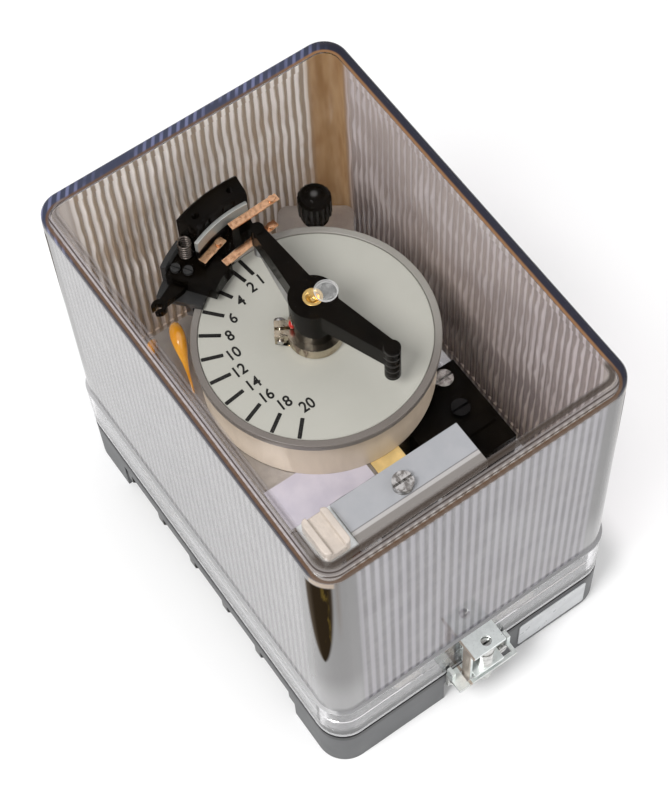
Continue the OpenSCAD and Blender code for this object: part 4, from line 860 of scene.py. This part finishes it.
# ---------------------------------------------------------------- leads in amber sleeves
# routes in mm: x, y, z and how thick the sleeve is there, as a share of its radius
THICK_RADIUS, THIN_RADIUS = 1.7, 1.4
THICK_LEAD = (
    (-31.5, 24.0, 78.0, 0.22), (-31.4, 24.6, 82.0, 0.22), (-31.2, 25.8, 86.2, 0.28),
    (-30.7, 27.6, 89.8, 0.55), (-30.0, 29.8, 92.2, 1.0), (-29.2, 32.2, 93.4, 1.28),
    (-28.4, 34.8, 93.4, 1.3), (-27.5, 37.2, 92.0, 1.05), (-26.7, 39.2, 89.2, 0.75),
    (-26.1, 40.8, 86.0, 0.5), (-25.7, 41.6, 82.4, 0.4), (-25.5, 42.0, 79.6, 0.4),
    (-25.5, 42.0, 78.0, 0.4))
THIN_LEAD = (
    (-40.5, 36.0, 26.0, 0.55), (-40.5, 36.0, 30.0, 0.55), (-40.4, 35.8, 38.0, 0.55),
    (-40.1, 35.4, 46.0, 0.55), (-39.8, 35.0, 54.0, 0.55), (-39.5, 34.8, 62.0, 0.55),
    (-39.3, 34.8, 69.0, 0.55), (-39.1, 35.0, 75.0, 0.55), (-38.6, 35.8, 79.6, 0.55),
    (-37.6, 37.0, 82.6, 0.8), (-36.2, 38.6, 84.2, 1.0), (-34.6, 40.2, 84.4, 1.0),
    (-33.2, 41.6, 83.2, 0.8), (-32.4, 42.4, 81.0, 0.6), (-32.2, 42.6, 79.2, 0.5),
    (-32.2, 42.6, 78.0, 0.5))


def sleeve(route, radius):
    """Smooth tube of a radius in mm along a route."""
    bpy.ops.curve.primitive_nurbs_path_add()
    path = bpy.context.object
    path.data.splines.clear()
    spline = path.data.splines.new("NURBS")
    spline.points.add(len(route) - 1)
    for point, (x, y, z, thick) in zip(spline.points, route):
        point.co = (x * MM, y * MM, z * MM, 1)
        point.radius = thick
    spline.order_u = 3
    spline.use_endpoint_u = True
    spline.resolution_u = 3
    path.data.bevel_depth = radius * MM
    path.data.bevel_resolution = 4
    path.data.use_fill_caps = True
    activate(path)
    bpy.ops.object.convert(target="MESH")
    return bpy.context.object


leads = join([sleeve(THICK_LEAD, THICK_RADIUS), sleeve(THIN_LEAD, THIN_RADIUS)], "leads_shown")
shade(leads, 60)
finish_piece(leads, nodes["leads"]["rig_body"], FINISHES["amber_sleeve"])
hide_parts("leads")

# ---------------------------------------------------------------- print on the dial
TICK_LENGTH, TICK_WIDTH, TICK_ROUND, TICK_RADIUS = 6.3, 1.15, 0.22, 29.25  # mm
SCALE_START, SECOND = 90.2, 6.859  # degrees of the scale's zero and of one second
FIGURE_HEIGHT, FIGURE_NARROW, FIGURE_WEIGHT = 3.55, 0.88, 0.022
PRINT_Z = DIAL_TOP + 0.03 * MM
# middle of each number from the clock's axis, in mm
FIGURES = {1: (-2.5, 23.6), 2: (-5.9, 22.9), 4: (-10.9, 21.0), 6: (-15.7, 17.7),
           8: (-19.5, 13.6), 10: (-21.5, 8.3), 12: (-23.1, 3.0), 14: (-22.3, -2.6),
           16: (-21.5, -7.8), 18: (-18.8, -12.5), 20: (-14.4, -16.6)}


def numeral(text):
    """Flat figures with their middle at the origin."""
    bpy.ops.object.text_add()
    figures = bpy.context.object
    figures.data.body = text
    figures.data.align_x = "CENTER"
    figures.data.offset = FIGURE_WEIGHT
    figures.data.resolution_u = 6
    bpy.ops.object.convert(target="MESH")
    figures = bpy.context.object
    corners = [v.co.copy() for v in figures.data.vertices]
    low = Vector((min(v.x for v in corners), min(v.y for v in corners), 0))
    high = Vector((max(v.x for v in corners), max(v.y for v in corners), 0))
    tall = FIGURE_HEIGHT * MM / (high.y - low.y)
    put(figures, scale(tall * FIGURE_NARROW, tall, tall), move(*(-(low + high) / 2)))
    return figures


def tick():
    """Bar of the scale along X with its corners rounded and its middle at the origin."""
    bpy.ops.mesh.primitive_plane_add(size=MM)
    bar = bpy.context.object
    put(bar, scale(TICK_LENGTH, TICK_WIDTH))
    with editing(bar):
        bpy.ops.mesh.bevel(offset=TICK_ROUND * MM, segments=3, affect="VERTICES")
    return bar


bar = tick()
marks = []
for seconds, (right, up) in FIGURES.items():
    mark = link_copy(bar)
    put(mark, move(CLOCK.x, CLOCK.y, PRINT_Z), spin(SCALE_START + SECOND * seconds),
        move(TICK_RADIUS * MM, 0, 0))
    figures = numeral(str(seconds))
    put(figures, move(CLOCK.x + right * MM, CLOCK.y + up * MM, PRINT_Z))
    marks += [mark, figures]
bpy.data.objects.remove(bar)
dial_print = join(marks, "dial_print")
finish_piece(dial_print, "frame",
             moulded("dial_ink", (0.008, 0.008, 0.007), rough=0.5, dust=0.12, shine=0.2))

# ---------------------------------------------------------------- paper label
PAPER_LENGTH, PAPER_WIDTH, PAPER_THICK = 28, 13.5, 0.12  # mm
PAPER_AT = (-19.2 * MM, -20.6 * MM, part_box("upper_plate")[1].z + 0.02 * MM)
PAPER_CURLS = (((14, 6.7), 0.5), ((-14, 6.7), 0.25), ((2, -6.7), 0.3), ((14, -6.7), 0.15))
CURL_REACH = 6

bpy.ops.mesh.primitive_grid_add(x_subdivisions=24, y_subdivisions=14, size=MM)
paper = bpy.context.object
put(paper, scale(PAPER_LENGTH, PAPER_WIDTH))
with editing(paper):
    for edge, lift in PAPER_CURLS:
        bpy.ops.mesh.select_all(action="DESELECT")
        mesh = bmesh.from_edit_mesh(paper.data)
        near = min(mesh.verts, key=lambda v: (v.co.xy - Vector(edge) * MM).length)
        near.select = True
        mesh.select_flush_mode()
        bmesh.update_edit_mesh(paper.data)
        bpy.ops.transform.translate(
            value=(0, 0, lift * MM), use_proportional_edit=True,
            proportional_edit_falloff="SMOOTH", proportional_size=CURL_REACH * MM)
modify(paper, "SOLIDIFY", thickness=PAPER_THICK * MM, offset=1)
put(paper, move(*PAPER_AT))
paper.name = "paper_label"
shade(paper, 60)
finish_piece(paper, "frame",
             moulded("paper", (0.62, 0.60, 0.66), rough=0.6, dust=0.0, mottle=0.6,
                     tone=(0.50, 0.485, 0.56)))

# ---------------------------------------------------------------- red paint on the collar
SEAL_RADIUS, SEAL_CUT = 1.35, -0.5  # mm
SEAL_HEIGHT, SEAL_FROM_AXIS, SEAL_TURN = 104.2, 6.1, 147  # mm, mm and degrees

bpy.ops.mesh.primitive_uv_sphere_add(segments=24, ring_count=14, radius=SEAL_RADIUS * MM)
blob = bpy.context.object
with editing(blob):
    bpy.ops.mesh.bisect(plane_co=(SEAL_CUT * MM, 0, 0), plane_no=(1, 0, 0), clear_inner=True,
                        use_fill=True)
    bpy.ops.mesh.select_all(action="SELECT")
    bpy.ops.transform.resize(value=(0.75, 1.15, 0.9))
put(blob, move(CLOCK.x, CLOCK.y, SEAL_HEIGHT * MM), spin(SEAL_TURN),
    move(SEAL_FROM_AXIS * MM, 0, 0))
blob.name = "paint_seal"
shade(blob, 50)
finish_piece(blob, "arm",
             moulded("seal_paint", (0.50, 0.018, 0.010), coat=0.4, dust=0.02))

# ---------------------------------------------------------------- floor and light
FLOOR_SIZE, FLOOR_Z, FLOOR_GREY = 6, -0.0002, (0.9, 0.9, 0.9)
WHITE = (1, 1, 1)
SOFT_LIGHT, SEEN_LIGHT = 0.68, 1.0  # strength of the world as light, and where it is seen
AIM = Vector((0, 0, 0.08))

bpy.ops.mesh.primitive_plane_add(size=FLOOR_SIZE, location=(0, 0, FLOOR_Z))
floor = bpy.context.object
floor.name = "floor"
ground = Finish("floor")
floor.data.materials.append(ground.done(ground.surface(FLOOR_GREY, 0.9)))

world = bpy.data.worlds.new("studio")
bpy.context.scene.world = world
sky = Nodes(world)
seen = sky.add("ShaderNodeLightPath", out="Is Camera Ray")
seen = seen.most(seen.beside("Is Glossy Ray")).most(seen.beside("Is Transmission Ray"))
soft, white = (sky.add("ShaderNodeBackground", {"Color": opaque(WHITE), "Strength": strength})
               for strength in (SOFT_LIGHT, SEEN_LIGHT))
sky.show(sky.blend(seen, soft, white), "ShaderNodeOutputWorld")


def lamp(name, at, size, power):
    """Square lamp of a size in metres that shines on the relay."""
    light = bpy.data.lights.new(name, "AREA")
    light.shape = "SQUARE"
    light.size = size
    light.energy = power
    holder = bpy.data.objects.new(name, light)
    bpy.context.scene.collection.objects.link(holder)
    turned = (Vector(at) - AIM).to_track_quat("Z", "Y").to_matrix().to_4x4()
    holder.matrix_world = move(*at) @ turned


lamp("key", (-0.42, -0.12, 0.8), size=0.28, power=5.5)
lamp("fill", (0.6, -0.5, 0.5), size=0.6, power=2)

# ---------------------------------------------------------------- camera, fitted to the photo
AZIMUTH, ELEVATION, ROLL = (math.radians(degrees) for degrees in (-31.34, 62.52, -4.16))
LOOKED_AT = Vector((-5.74, -9.43, 96.03)) * MM
CAMERA_DISTANCE = 0.54574
PHOTO_WIDTH, FOCAL_PIXELS, SENSOR = 668, 2011, 36

back = Vector((math.sin(AZIMUTH) * math.cos(ELEVATION), -math.cos(AZIMUTH) * math.cos(ELEVATION),
               math.sin(ELEVATION)))
right = Vector((math.cos(AZIMUTH), math.sin(AZIMUTH), 0))
up = back.cross(right)
tilted_right = math.cos(ROLL) * right + math.sin(ROLL) * up
tilted_up = -math.sin(ROLL) * right + math.cos(ROLL) * up
lens = bpy.data.cameras.new("camera")
lens.sensor_fit = "HORIZONTAL"
lens.sensor_width = SENSOR
lens.lens = SENSOR * FOCAL_PIXELS / PHOTO_WIDTH
lens.clip_start = 0.02
camera = bpy.data.objects.new("camera", lens)
bpy.context.scene.collection.objects.link(camera)
turned = Matrix((tilted_right, tilted_up, back)).transposed().to_4x4()
camera.matrix_world = move(*(LOOKED_AT + back * CAMERA_DISTANCE)) @ turned
bpy.context.scene.camera = camera
bpy.context.scene.view_settings.view_transform = "Standard"
